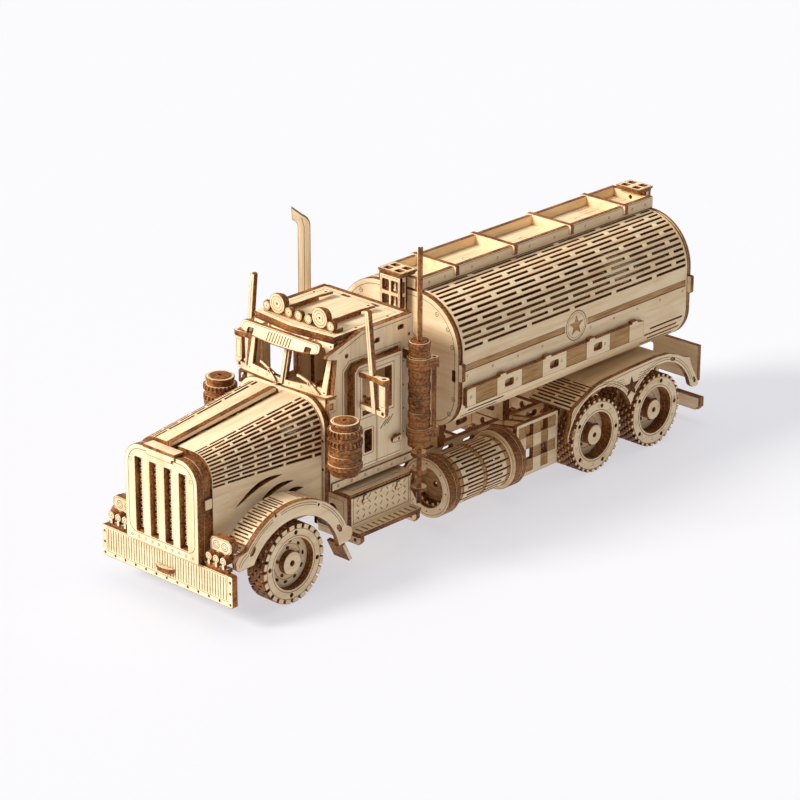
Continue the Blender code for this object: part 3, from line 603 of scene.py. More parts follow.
def makeHeadlamps():
    look = lampLook
    for name, tag, side in sides:
        near, far, y0, y1, z0, z1 = flank("headlamp" + tag)
        piece = Piece("headlamp" + name, side)
        piece.box((near, y0 + 0.5, z0), (far, y0 + 3.2, z0 + 1.6))
        for i in range(look["lamps"]):
            middle = near + look["first"] + i * look["pitch"]
            spot = (middle, z0 + look["height"])
            lamp = [(middle - 0.75, z0 + 1.0), (middle + 0.75, z0 + 1.0), (middle + 0.6, z0 + 3.2)]
            lamp += arc(spot, look["radii"][0], -66, 246, 14) + [(middle - 0.6, z0 + 3.2)]
            cuts = [hoop(spot, 1.05, 0.24, 0.12, steps=14), (circle(spot, 0.32, 10), 0.2, char)]
            piece.sheet("y", y0 + 1.4, y0, lamp, cuts=cuts)
            piece.sheet("y", y0 + 3.6, y0 + 1.45, circle(spot, look["radii"][1], 16))
            piece.sheet("y", y0 + 4.6, y0 + 3.65, circle(spot, look["radii"][2], 16))
        # the block with two lamps beside the grille
        block = [(near, z1 - 6.6), (far - 2.2, z1 - 6.8), (far, z1 - 4.6), (far, z1 - 1.6), (far - 2.0, z1),
                 (near + 1.4, z1 - 0.4), (near, z1 - 2.0)]
        level, front = z1 - 3.4, y0 + 2.9
        trim = [(near + 0.6 + (a - near) * 0.9, level + (b - level) * 0.82) for a, b in block]
        cuts = [line(trim, 0.24)]
        for a in (near + 3.6, near + 8.0):
            cuts += [hoop((a, level), 1.6, 0.26, 0.14, char, 16),
                     hoop((a, level), 0.85, 0.22, 0.14, char, 16)]
        piece.sheet("y", front + 1.7, front, block, cuts=cuts)
        inner = [(near + 0.3 + (a - near) * 0.96, level + (b - level) * 0.94) for a, b in block]
        piece.sheet("y", front + 3.6, front + 1.75, inner)
        piece.make("headlamp" + tag, grain="x")


fenderLook = {"centreZ": 11.0, "outer": 31.6, "inner": 25.0, "slits": 48, "slit": 0.34, "from": 150, "to": 22}


def makeFrontFenders():
    look = fenderLook
    y0, y1 = span("front_wheel_left")[2:4]
    centre = ((y0 + y1) / 2 - 0.6, look["centreZ"])
    for name, tag, side in sides:
        far = flank("front_fender" + tag)[1]
        outline = arc(centre, look["outer"], 142, 24, 30)
        outline += [(64.0, 23.6), (66.0, 22.2), (66.4, 19.6), (65.2, 17.2), (58.2, 16.4)]
        outline += arc(centre, look["inner"], 13, 150, 34) + [(5.0, 23.2), (3.4, 24.2), (3.0, 27.4),
                                                              (4.8, 29.6)]
        slots = [oval((12.2, 29.3), 4.0, 1.7, 52, 2), oval((59.0, 24.0), 4.0, 1.7, -52, 2)]
        pins = [circle(spot, 0.42, 10) for spot in ((24.5, 40.2), (47.6, 37.6))]
        cuts = []
        for radius, width in ((30.4, 0.3), (29.5, 0.26)):
            for start, end, steps in ((143, 112, 10), (104, 66, 12), (60, 26, 10)):
                cuts.append(scratch(arc(centre, radius, start, end, steps), width))
        cuts.append(scratch([(9.0, 29.4), (7.2, 28.4), (5.2, 26.4), (5.0, 24.8)], 0.28))
        cuts.append(scratch([(10.0, 28.6), (8.0, 27.4), (6.3, 25.9), (6.1, 24.6)], 0.26))
        board = Piece("frontFender" + name, side)
        board.sheet("x", far - 2.0, far, outline, slots + pins, cuts)
        for slot in slots:
            board.sheet("x", far - 3.2, far - 0.5, slot, skin=raster)
        board.sheet("x", far - 9.0, far - 0.6, [(61.0, 15.6), (62.8, 16.0), (66.6, 8.4), (65.0, 7.8)])
        board.make("front_fender" + tag)

        near, far = flank("front_fender_shell" + tag)[:2]
        radius, rows, half = look["outer"] - 0.3, look["slits"], look["slit"] / 2
        length = math.radians(look["from"] - look["to"]) * radius
        holes, bends = [], []
        for i in range(1, rows):
            s = i * length / rows
            if not rows * 0.44 < i < rows * 0.56:
                first, last = (near + 0.5, far - 1.8) if i % 2 else (near + 1.8, far - 0.5)
                holes.append(rect(first, s - half, last, s + half))
            bends.append(((near, s), (far, s)))

        def over(point):
            turn = math.radians(look["from"]) - point.y / radius
            r = radius + point.z
            return Vector((point.x, centre[0] + r * math.cos(turn), centre[1] + r * math.sin(turn)))

        shell = Piece("frontFenderShell" + name, side)
        shell.sheet("z", -1.4, 0, rect(near, 0, far, length), holes, bends=bends, bend=over)
        shell.make("front_fender_shell" + tag, grain="x")


frontWheel = {"rim": 10.5, "dish": 3.4, "hub": 4.8, "pins": 4, "pinCircle": 12.9, "pinTurn": -6, "tyres": 1,
              "layers": 5, "teeth": 24, "root": 14.7, "share": 0.74, "phase": 3, "ply": 1.8, "spacer": 0,
              "open": 3, "ticks": 0, "ovals": 10, "ovalCircle": 8.3, "ovalSize": (1.7, 0.9), "nutCircle": 5.9,
              "bore": 1.1}
rearWheel = {"rim": 10.3, "dish": 5.6, "hub": 4.5, "pins": 5, "pinCircle": 13.1, "pinTurn": 3, "tyres": 2,
             "layers": 5, "teeth": 30, "root": 15.3, "share": 0.5, "phase": 0, "ply": 1.8, "spacer": 2.0,
             "open": 4, "ticks": 10, "ovals": 5, "ovalCircle": 7.1, "ovalSize": (1.8, 1.7), "nutCircle": 5.6,
             "bore": 1.0}


def makeWheel(name, node, body, side, look):
    outer, y0, y1, z0, z1 = flank(node)[1:]
    radius = (z1 - z0) / 2
    centre = ((y0 + y1) / 2, radius)
    piece = Piece(name, side)
    rim, pinCircle = look["rim"], look["pinCircle"]

    def spots(count, circleRadius, turn):
        return [around(centre, circleRadius, 360 * i / count + turn) for i in range(count)]

    pins = [circle(spot, 0.8, 12) for spot in spots(look["pins"], pinCircle, look["pinTurn"])]
    # toothed tyre layers from the outside in
    x = outer
    for layer in range(look["tyres"] * look["layers"]):
        i = layer % look["layers"]
        outline = gear(centre, look["root"], radius, look["teeth"], look["share"],
                       look["phase"] + (180 / look["teeth"] if i % 2 else 0))
        cuts = []
        if layer == 0:
            cuts += [hoop(centre, look["root"] - 0.35, 0.26, steps=48),
                     hoop(centre, rim + 1.05, 0.3, 0.18, steps=40)]
            for j in range(look["ticks"]):
                turn = 360 * j / look["ticks"] + 11
                cuts.append(scratch(arc(centre, pinCircle + 0.2, turn - 4, turn + 4, 3), 0.22, 0.1))
                cuts.append(scratch(arc(centre, pinCircle - 0.7, turn - 3, turn + 3, 3), 0.2, 0.1))
        holes = [circle(centre, rim - (0 if layer < look["open"] else 5), 40)]
        piece.sheet("x", x - look["ply"] + 0.06, x, outline, holes + (pins if layer < 2 else []), cuts)
        x -= look["ply"] + (look["spacer"] if i == look["layers"] - 1 else 0)
    # the dished disc with its nuts, and the hub
    depth = outer - look["dish"]
    ovals = [oval(spot, *look["ovalSize"], 360 * i / look["ovals"] + 99, 3)
             for i, spot in enumerate(spots(look["ovals"], look["ovalCircle"], 9))]
    cuts = [hoop(centre, look["nutCircle"] + 1.4, 0.26, steps=32)]
    for nut in spots(5, look["nutCircle"], 20):
        cuts.append(dot(nut, 0.42, 0.4))
        piece.sheet("x", depth - 0.2, depth + 0.5, circle(nut, 0.75, 10), [circle(nut, 0.4, 8)])
    piece.sheet("x", depth - 1.4, depth, circle(centre, rim + 0.4, 40), ovals, cuts)
    piece.sheet("x", depth - 4.0, depth - 2.6, circle(centre, rim + 0.4, 40))
    step = (look["dish"] - 0.8) / 3
    for i, gap in enumerate((0, 0.25, 0)):
        disc = circle(centre, look["hub"] - gap, 32)
        piece.sheet("x", depth + i * step + 0.02, depth + (i + 1) * step, disc,
                    [circle(centre, look["bore"], 14)])
    piece.make(node, body)


def makeWheels():
    for name, tag, side in sides:
        makeWheel("frontWheel" + name, "front_wheel" + tag, "front_wheelset", side, frontWheel)
        for i in (1, 2):
            makeWheel(f"rearWheel{i}{name}", f"rear_wheel_{i}{tag}", f"rear_wheelset_{i}", side, rearWheel)


cowlLook = {"topCorner": 11.5, "backBoard": (21.8, 36.4, 72.6), "ledgeReach": 24.4}


def makeCowl():
    x0, x1, y0, y1, z0, z1 = span("cowl")
    look = cowlLook
    piece = Piece("cowlBoard")
    middle = (y0 + y1) / 2
    window = roundRect(x0 + 6, z0 + 6, x1 - 6, z1 - 9, 2, 5, 8)
    pins = [circle((s * (x1 - 1.3), z), 0.4, 10) for s in (1, -1) for z in (44, 56)]
    outer = roundRect(x0, z0, x1, z1, 0.8, 8, look["topCorner"])
    piece.sheet("y", middle - 0.03, y0, outer, [window, *pins])
    piece.sheet("y", y1, middle + 0.03, inside((x0, z0, x1, z1), 0.5, 0.8, 8, look["topCorner"] - 0.5),
                [window])
    half, low, top = look["backBoard"]
    piece.sheet("y", y1 + 2.4, y1 + 0.6, rect(-half, low, half, top), [roundRect(-15, 42, 15, 62, 2)])
    reach = look["ledgeReach"]
    for s in (1, -1):
        # the ledge under the windshield, ending in a pierced tab
        ledge = [(s * 1.0, y0 - 0.5), (s * (reach - 0.8), y0 + 1.2), (s * reach, y1 + 1.6),
                 (s * reach, y1 + 4.2),
                 (s * 1.0, y1 + 1.2)]
        piece.sheet("z", z1 + 0.05, z1 + 0.75, ledge)
        tab = roundRect(y0 + 1.4, z1 - 5.6, y1 + 3.4, z1 - 0.1, 0.6, 3)
        piece.sheet("x", s * 24.32, s * 25.0, tab, [rect(y1 - 0.2, z1 - 4.2, y1 + 1.6, z1 - 1.8)])
    piece.make("cowl", grain="x")


screenLook = {"lean": 0.22, "sweep": 0.115, "foot": 71.6, "post": 1.5, "wiperArm": 1.5, "wiperBlade": 1.25,
              "wipers": (((19.0, 73.6), (14.0, 76.9), (8.5, 78.5)),
                         ((-2.6, 73.6), (-7.4, 76.9), (-12.8, 78.5)))}


def lean(point):
    back = screenLook["lean"] * (point.z - screenLook["foot"]) + screenLook["sweep"] * abs(point.x)
    return Vector((point.x, point.y + back, point.z))


def makeWindshield():
    x0, x1, y0, y1, z0, z1 = span("windshield")
    look = screenLook
    front = y0 - look["lean"] * (z0 - look["foot"])
    middle = [((0, z0 - 1), (0, z1 + 1))]
    panes, wider, cuts = [], [], []
    for s in (1, -1):
        post = look["post"]
        pane = [(post, z0 + 2.3), (x1 - 2.9, z0 + 3.0), (x1 - 2.3, z1 - 6.5), (x1 - 4.4, z1 - 2.6),
                (post, z1 - 2.6)]
        panes.append([(s * a, b) for a, b in pane])
        wider.append([(s * (a + (0.35 if a > 2 else -0.35)), b + (0.35 if b > z0 + 5 else -0.35))
                      for a, b in pane])
        cuts += [(circle((s * (x1 - 1.4), z), 0.4, 8), 0.5, char) for z in (z0 + 1.1, z1 - 1.4)]
        cuts += [hoop((s * a, z0 + 1.15), 0.42, 0.18, 0.14, char, 10) for a in (3.5, 9.5, 15.5)]
    outline = [(0, z0), (x1, z0), (x1, z1), (0, z1), (x0, z1), (x0, z0)]
    piece = Piece("windshieldFrame")
    piece.sheet("y", front + 0.95, front, outline, panes, cuts, bends=middle, bend=lean)
    piece.sheet("y", front + 2.0, front + 1.0, outline, wider, bends=middle, bend=lean)
    piece.sheet("y", front, front - 0.7, rect(-0.75, z0 + 0.4, 0.75, z1 - 1), bend=lean)
    # a jointed wiper in front of each pane
    for pivot, joint, tip in look["wipers"]:
        piece.sheet("y", front - 0.65, front - 1.25, stroke([pivot, joint], look["wiperArm"]), bend=lean)
        blade = [(joint[0] * 1.5 - tip[0] * 0.5, joint[1] - 0.7), joint, tip,
                 (tip[0] * 1.3 - joint[0] * 0.3, tip[1] + 0.2)]
        piece.sheet("y", front - 0.05, front - 0.62, stroke(blade, look["wiperBlade"]), bend=lean)
        for spot in (pivot, joint):
            piece.sheet("y", front - 0.9, front - 1.5, circle(spot, 0.95, 14), [circle(spot, 0.3, 8)],
                        bend=lean)
    piece.make("windshield", grain="x")


visorLook = {"top": 95.2, "tilt": 0.55, "level": 96.6, "slots": 9, "slotPitch": 1.5,
             "holes": (14.2, 91.0, 17.4, 93.0)}


def makeVisor():
    x0, half, y0, y1, z0, z1 = span("sun_visor")
    look = visorLook
    top = look["top"]
    arch = []
    for i in range(17):
        a = half - 1.5 - (2 * half - 3) * i / 16
        arch.append((a, z0 + 3.4 - 1.7 * (1 - (a / half) ** 2)))
    outline = arc((half - 1.8, top - 1.7), 1.7, 0, 90, 4) + arc((-half + 1.8, top - 1.7), 1.7, 90, 180, 4)
    outline += [(-half, z0 + 4.0), *reversed(arch), (half, z0 + 4.0)]
    holes = [roundRect(*across(s, *look["holes"]), 0.5, 3) for s in (1, -1)]
    cuts = [line([(a * 0.955, 91.9 + (b - 91.9) * 0.84) for a, b in outline], 0.24, 0.12)]
    for i in range(look["slots"]):
        a = (i - (look["slots"] - 1) / 2) * look["slotPitch"]
        cuts.append((roundRect(a - 0.3, 90.6, a + 0.3, 94.0, 0.25, 2), 0.3, raster))

    def tilt(point):
        return Vector((point.x, point.y + look["tilt"] * (point.z - look["level"]), point.z))

    piece = Piece("visorBoard")
    front = y0 + look["tilt"] * (look["level"] - z0) + 0.05
    piece.sheet("y", front + 1.3, front, outline, holes, cuts, bend=tilt)
    for s in (1, -1):
        bracket = [(y1 - 2.0, 92.6), (y1 + 2.4, 93.4), (y1 + 2.4, 94.8), (y1 - 1.0, 94.6)]
        piece.sheet("x", s * 12.0, s * 13.4, bracket)
    piece.make("sun_visor", grain="x")


def makeRoof():
    x0, x1, y0, y1, z0, z1 = span("cab_roof")
    drop = screenLook["sweep"] * x1

    def plan(front, corner, gap):
        # the roof's outline, its front edge swept like the windshield
        a, b, c = x1 - gap, y0 + drop + corner, y1 - gap
        return [(0, y0 + front), (a, b), (a, c), (-a, c), (-a, b)]

    pins = [circle((s * (x1 - 1.6), y), 0.42, 10) for s in (1, -1) for y in (y1 - 8, y1 - 26)]
    trim = [(0, y0 + 2.6), (x1 - 2.4, y0 + drop + 2.8), (x1 - 2.4, y1 - 2.6), (x0 + 2.4, y1 - 2.6),
            (x0 + 2.4, y0 + drop + 2.8)]
    cuts = [line(trim, 0.26)]
    cuts += [(rect(s * 8 - 2.2, y1 - 3.4, s * 8 + 2.2, y1 - 1.6), 0.5, char) for s in (1, -1)]
    piece = Piece("roofBoard")
    piece.sheet("z", z0 + 1.2, z1, plan(0, 0, 0), pins, cuts)
    piece.sheet("z", z0, z0 + 1.15, plan(0.6, 0.6, 0.5))
    piece.make("cab_roof", grain="y")


hornLook = {"reach": 26.0, "root": 0.9, "tip": 1.9, "bell": 7,
            "lamps": ((-17.6, 2.1), (-11.7, 4.2), (-5.4, 2.1), (0, 2.1), (5.4, 2.1), (11.7, 4.2),
                      (17.6, 2.1))}


def makeRoofLamps():
    x0, x1, y0, y1, z0, z1 = span("roof_lights")
    look = hornLook
    piece = Piece("roofLampBar")
    rings = [hoop((a, y1 + 0.6), 0.4, 0.2, 0.12, char, 10) for a in (-15, -8.6, 8.6, 15)]
    piece.sheet("z", z0, z0 + 1.3, roundRect(x0, y0 + 0.6, x1, y1 + 1.4, 0.8, 3), cuts=rings)
    for middle, radius in look["lamps"]:
        centre = (middle, z0 + radius + 0.3)
        big = radius > 3
        cuts = [hoop(centre, radius * 0.74, 0.26, steps=24), dot(centre, radius * 0.13, 0.25)]
        if big:
            cuts.append(hoop(centre, radius * 0.45, 0.24, 0.12))
        piece.sheet("y", y0 + 1.1, y0, circle(centre, radius, 30 if big else 20), cuts=cuts)
        piece.sheet("y", y0 + 2.3, y0 + 1.15, circle(centre, radius - 0.35, 26 if big else 18))
        if big:
            # a horn lies on the roof behind each big lamp
            piece.sheet("y", y0 + 3.6, y0 + 2.35, circle(centre, radius - 0.9, 24))
            a, z = y1 - 0.5, z0 + 0.2
            b = a + look["reach"]
            root, tip, neck = look["root"], look["tip"], b - look["bell"]
            horn = [(middle - root, a), (middle + root, a), (middle + root, neck), (middle + tip, b),
                    (middle - tip, b), (middle - root, neck)]
            piece.sheet("z", z + 1.2, z + 2.2, horn, [circle((middle, b - 2), 0.5, 10)])
            piece.sheet("z", z + 0.1, z + 1.15, rect(middle - root, a, middle + root, neck))
    piece.make("roof_lights", slot="engraved", grain="x")


cabLook = {"front": 73.5, "rear": 103.7, "sill": 39.8, "lintel": 84.8, "sillRivets": 6, "rivetPitch": 7.6}


def makeCabSides():
    look = cabLook
    front, rear, sill, lintel = look["front"], look["rear"], look["sill"], look["lintel"]
    for name, tag, side in sides:
        near, far, y0, y1, z0, z1 = flank("cab_side" + tag)
        outline = [(65.1, z0), (y1, z0), (y1, z1 - 0.6), (y1 - 0.6, z1), (83.2, z1), (y0 + 0.6, z1 - 5.6),
                   (y0, z1 - 6.6), (y0 + 0.6, z1 - 7.4), (69.2, 88.0), (67.0, 70.6), (65.1, 70.2)]
        aperture = [(front, sill), (rear, sill), (rear, lintel), (front + 3, lintel), (front, lintel - 3)]
        holes = [aperture, roundRect(103.6, 91.4, 106.8, 93.1, 0.6, 3),
                 roundRect(89.9, 89.4, 93.1, 91.1, 0.6, 3),
                 circle((74.7, 88.3), 0.8, 12), *(circle(spot, 0.5, 10)
                                                  for spot in ((110, 88), (110, 60), (67, 50)))]
        frameLine = [(front - 1.2, sill - 1.2), (rear + 1.2, sill - 1.2), (rear + 1.2, lintel + 1.2),
                     (front + 2.4, lintel + 1.2), (front - 1.2, lintel - 2.4)]
        cuts = [scratch([(70.2, 90.4), (83.6, 95.0), (y1 - 1.2, 95.0)], 0.3), line(frameLine, 0.26)]
        piece = Piece("cabSide" + name, side)
        piece.sheet("x", near, far, outline, holes, cuts)
        # the riveted sill strip, and pins up the rear corner
        rivets = []
        for i in range(look["sillRivets"]):
            rivets += rivet((69.0 + i * look["rivetPitch"], z0 + 1.7), 0.15)
        piece.sheet("x", far, far + 0.7, rect(65.6, z0 + 0.1, y1 - 0.6, z0 + 3.4), cuts=rivets)
        for y in (y1 - 5.4, y1 - 2.6):
            for z in (42, 52, 62, 72):
                piece.sheet("x", far - 0.3, far + 0.12, circle((y, z + y1 - y), 0.32, 8), skin=edge, rim=0)
        piece.make("cab_side" + tag, grain="z")

    x0, x1, y0, y1, z0, z1 = span("cab_back")
    back = Piece("cabBack")
    holes = [roundRect(-9, 70, 9, 86, 1.4), circle((-18, 90), 0.6, 10), circle((18, 90), 0.6, 10)]
    cuts = [line(roundRect(-10.6, 68.4, 10.6, 87.6, 2.0), 0.3, 0.16)]
    cuts += [(rect(a - 0.35, 40, a + 0.35, 64), 0.3, raster) for a in range(-18, 19, 4)]
    back.sheet("y", y0, y1, rect(x0, z0, x1, z1), holes, cuts)
    back.make("cab_back", slot="engraved", grain="z")


doorLook = {"low": 40.4, "top": 84.0, "thick": 4.0, "window": (62.6, 79.4), "handle": (4.2, 48.2)}


def makeDoors():
    look = doorLook
    for name, tag, side in sides:
        near, _, y0, y1, _, _ = flank("door" + tag)
        far, z0, z1 = near + look["thick"], look["low"], look["top"]
        low, high = look["window"]
        leaf = [(y0, z0), (y1, z0), (y1, z1), (y0 + 2.4, z1), (y0, z1 - 2.4)]
        window = [(y0 + 4.6, low), (y1 - 6.3, low), (y1 - 6.3, high), (y0 + 5.4, high),
                  (y0 + 4.6, high - 0.8)]
        grown = [(a + (0.4 if a > y0 + 10 else -0.4), b + (0.4 if b > 70 else -0.4)) for a, b in window]
        quarter = roundRect(y0 + 5.6, 46.6, y0 + 9.6, 55.8, 0.5, 2)
        wide = [(y0 + 3.2, low - 1.4), (y1 - 4.9, low - 1.4), (y1 - 4.9, high + 1.4), (y0 + 4.6, high + 1.4),
                (y0 + 3.2, high)]
        trim = [(y0 + 1.3, z0 + 1.3), (y1 - 1.3, z0 + 1.3), (y1 - 1.3, z1 - 1.3), (y0 + 2.9, z1 - 1.3),
                (y0 + 1.3, z1 - 2.9)]
        cuts = [line(wide, 0.28, 0.16), line(roundRect(y0 + 4.6, 45.6, y0 + 10.6, 56.8, 0.8, 3), 0.26),
                (rect(y0 + 12.4, z0 + 0.4, y0 + 12.7, 61.0), 0.2, char)]
        for i in range(3):
            a, b = y0 + 14.6 + i * 1.9, 54.2 + i * 0.5
            cuts.append(scratch([(a, b), (a + 3.4, b + 3.2)], 0.42, 0.4, char))
        cuts.append(line(trim, 0.26))
        piece = Piece("doorLeaf" + name, side)
        piece.sheet("x", near + 2.03, far, leaf, [window, quarter], cuts)
        piece.sheet("x", near, near + 1.97, leaf, [grown, quarter])
        # the handle on its foot
        back, level = look["handle"]
        y = y1 - back
        piece.sheet("x", far, far + 1.0, circle((y, level), 1.3, 12))
        grip = [(y - 3.2, level - 1.1), (y + 1.6, level - 1.5), (y + 2.2, level), (y + 1.6, level + 1.5),
                (y - 3.2, level + 1.1), (y - 3.8, level)]
        mark = [(a * 0.72 + y * 0.28 - 0.2, b * 0.6 + level * 0.4) for a, b in grip]
        piece.sheet("x", far + 1.02, far + 2.2, grip, [circle((y, level), 0.4, 8)], [line(mark, 0.2, 0.1)])
        piece.make("door" + tag, f"door{tag}_set", grain="z")


mirrorLook = {"lean": 0.098, "rod": 2.3, "rodStart": 7.7, "glassLow": 68.0, "glassTop": 79.2,
              "arms": (79.6, 80.65)}


def makeMirrors():
    look = mirrorLook
    for name, tag, side in sides:
        near, far, y0, y1, base, top = flank("mirror" + tag)
        y = (y0 + y1) / 2
        piece = Piece("mirrorSet" + name, side)

        def upright(shift, z):
            # the rod leans in as it rises
            return near + look["rodStart"] + shift - look["lean"] * (z - base), z

        half = look["rod"] / 2
        rod = [upright(-half, base), upright(half, base), upright(half, top - 0.6), upright(half - 0.6, top),
               upright(-half + 0.6, top), upright(-half, top - 0.6)]
        groove = scratch([upright(0, base + 18), upright(0, top - 3)], 0.22, 0.12)
        piece.sheet("y", y + 1.0, y - 1.0, rod, cuts=[groove])
        end = far - 1.9
        for level in look["arms"]:
            arm = [(near, y + 1.2), (near, y - 1.2), (end - 3.4, y - 1.2)] + arc((end, y), 2.2, -105, 105, 14)
            piece.sheet("z", level, level + 1.0, arm + [(end - 3.4, y + 1.2)], [circle((end, y), 0.8, 12)])
        low, high = look["glassLow"], look["glassTop"]
        glass = [(end - 2.0, low + 1.6), (end - 0.6, low), (end + 1.6, low), (end + 1.6, high),
                 (end - 2.0, high)]
        pane = line(rect(end - 1.3, low + 2.2, end + 0.9, high - 1.4), 0.22, 0.12)
        piece.sheet("y", y + 0.9, y - 1.0, glass, cuts=[pane])
        # the lower arm, a flat bar out to a round foot
        foot = (end - 0.2, 67.2)
        arm = [(near, 66.4), (end - 1.0, 65.8), *arc(foot, 1.7, -120, 110, 10), (end - 2.0, 68.2),
               (near, 68.6)]
        piece.sheet("y", y + 0.7, y - 0.7, arm, [circle(foot, 0.6, 10)])
        piece.make("mirror" + tag, f"door{tag}_set", grain="z")


cleanerLook = {"teeth": 24, "reach": 6.9, "pitch": 1.9, "radii": (6.7, 6.5, 6.75, 6.55)}


def makeCleaners():
    look = cleanerLook
    for name, tag, side in sides:
        near, far, y0, y1, z0, z1 = flank("air_cleaner" + tag)
        centre = (far - look["reach"], (y0 + y1) / 2)
        piece = Piece("airCleaner" + name, side)
        # each disc is (top, thickness, radius, toothed)
        stack = [(z1, 1.6, 5.85, False), (z1 - 1.65, 1.4, 5.3, False), (z1 - 3.1, 2.3, 6.9, True),
                 (z1 - 5.45, 1.9, 6.3, False), (z1 - 7.4, 2.3, 6.9, True)]
        z = z1 - 9.75
        i = 0
        while z - look["pitch"] > z0 + 3.6:
            stack.append((z, look["pitch"] - 0.05, look["radii"][i % 4], False))
            z -= look["pitch"]
            i += 1
        stack += [(z, z - z0 - 2.9, 6.95, False), (z0 + 2.85, 1.4, 6.2, False), (z0 + 1.4, 1.4, 5.4, False)]
        holes = [circle(centre, 1.0, 14)]
        cuts = [hoop(centre, 4.7, 0.28, steps=32), hoop(centre, 2.4, 0.24, 0.12, steps=24)]
        for top, thick, radius, toothed in stack:
            outline = circle(centre, radius, 40)
            if toothed:
                outline = gear(centre, radius - 0.75, radius, look["teeth"], 0.5, 3)
            piece.sheet("z", top - thick, top - 0.36, outline, holes, cuts, rim=0.3)
            piece.sheet("z", top - 0.34, top - 0.02, circle(centre, radius - 1.5, 30), holes, skin=edge,
                        rim=0)
            holes, cuts = [], []
        piece.box((near, centre[1] + 2.5, 55.0), (far - 12, centre[1] + 4.6, 57.0))
        piece.box((near, centre[1] + 2.3, 57.05), (far - 12, centre[1] + 4.7, 59.0))
        piece.make("air_cleaner" + tag, slot="dark_ply", grain="x")


stackLook = {"x": 31.8, "radius": 4.5, "ring": 3.05, "low": 43.5, "ear": (4.3, 4.0), "clamps": (11.0, 40.6),
             "discs": (24.0, 31.5, 39.0), "pipeHalf": 2.55, "waver": (0.12, -0.28, 0.0, -0.18)}


def makeExhausts():
    look = stackLook
    turn = math.sqrt(0.5)
    for name, tag, side in sides:
        near, _, y0, y1, _, z1 = flank("muffler" + tag)
        x, y, z0 = look["x"], (y0 + y1) / 2, look["low"]
        centre, ear = (x, y), (x + look["ear"][0], y + look["ear"][1])
        piece = Piece("mufflerStack" + name, side)
        count = round((z1 - z0) / look["ring"])
        pitch = (z1 - z0) / count
        for i in range(count):
            level, radius = z0 + i * pitch, look["radius"] + look["waver"][i % 4]
            cuts = [hoop(centre, 3.6, 0.24, 0.12, steps=24)] if i == count - 1 else []
            piece.sheet("z", level, level + pitch - 0.55, circle(centre, radius, 30), cuts=cuts, rim=0.3)
            piece.sheet("z", level + pitch - 0.53, level + pitch - 0.02, circle(centre, radius - 0.8, 24),
                        skin=edge,
                        rim=0)
        # clamps with an ear each, and the shield between them
        loop = arc(centre, 5.2, 80, 367, 26) + arc(ear, 1.9, -50, 135, 10)
        for level in [z1 - drop + i * 1.35 for drop in look["clamps"] for i in range(3)]:
            piece.sheet("z", level, level + 1.27, loop, [circle(ear, 0.62, 10)])

        def stand(point):
            # a plank cut in its own plane and stood at 45 degrees to the truck's side
            return Vector((x + (point.x + point.y) * turn, y + (point.y - point.x) * turn, point.z))

        def ahead(point):
            return Vector((ear[0] + (point.x - point.y) * turn, ear[1] - (point.x + point.y) * turn, point.z))

        groove = scratch([(0, z1 - 35), (0, z1 - 13)], 0.26, 0.12)
        piece.sheet("y", 0.9, -0.9, rect(-1.3, z1 - 36.6, 1.3, z1 - 11.2), cuts=[groove], bend=ahead)
        half = look["pipeHalf"]
        foot = [(-half, z0 - 0.1)] + arc((0, 18.0 + half), half, 180, 360, 12) + [(half, z0 - 0.1)]
        cuts = [line([(a * 0.72, b if b > 40 else b + 0.4) for a, b in foot], 0.24, 0.12)]
        for back, front in ((1.0, 0.03), (-0.03, -1.0)):
            piece.sheet("y", back, front, foot, [circle((0, 20.6), 0.6, 10)], cuts, bend=stand)
        for level in look["discs"]:
            piece.sheet("z", level, level + 1.5, circle(centre, 3.3, 24))
        piece.box((near, y - 2.0, z1 - 9.0), (x - 3.2, y, z1 - 5.0))
        piece.make("muffler" + tag, slot="dark_ply", grain="z")

        base, top = span("exhaust_pipe" + tag)[4:]
        curl = top - 8
        outline = [(-half, base), (half, base), (half, curl), *arc((half + 3, curl), 3, 180, 104, 7)[1:],
                   (half + 2.5, top), *arc((half, curl), 2 * half, 112, 180, 9)]
        groove = scratch([(0, base + 1.5), (0, curl), (0.9, curl + 3.6)], 0.26, 0.12)
        pipe = Piece("exhaustPipe" + name, side)
        pipe.sheet("y", -0.03, -1.0, outline, cuts=[groove], bend=stand)
        pipe.sheet("y", 1.0, 0.03, outline, bend=stand)
        pipe.make("exhaust_pipe" + tag, grain="z")


tankLook = {"slit": 0.84, "slitLength": 23.5, "slitGap": 3.4, "rowPitch": 2.42, "rows": 14, "lowRows": 9,
            "topCorner": 22.0, "lowCorner": 15.0, "stripe": (70.2, 67.5), "badge": 6.4, "badgeY": 202.4,
            "badgeZ": 68.9, "pins": 10, "bolts": ((21, 90), (27, 85), (29.4, 78), (30.3, 56), (28, 49)),
            "emblem": (0, 66.0)}


def tankSkin(half, low, top):
    # maps a flat sheet, measured from the middle of the top round to the middle of the bottom
    upper, lower = tankLook["topCorner"], tankLook["lowCorner"]
    turnStart = half - upper
    sideStart = turnStart + upper * math.pi / 2
    lowStart = sideStart + top - upper - low - lower
    lowEnd = lowStart + lower * math.pi / 2

    def bend(point):
        u, y, lift = point
        if u <= turnStart:
            return Vector((u, y, top + lift))
        if u <= sideStart:
            turn, r = (u - turnStart) / upper, upper + lift
            return Vector((half - upper + r * math.sin(turn), y, top - upper + r * math.cos(turn)))
        if u <= lowStart:
            return Vector((half + lift, y, top - upper - (u - sideStart)))
        if u <= lowEnd:
            turn, r = (u - lowStart) / lower, lower + lift
            return Vector((half - lower + r * math.cos(turn), y, low + lower - r * math.sin(turn)))
        return Vector((half - lower - (u - lowEnd), y, low - lift))

    return bend, [turnStart, sideStart, lowStart, lowEnd], lowEnd + half - lower


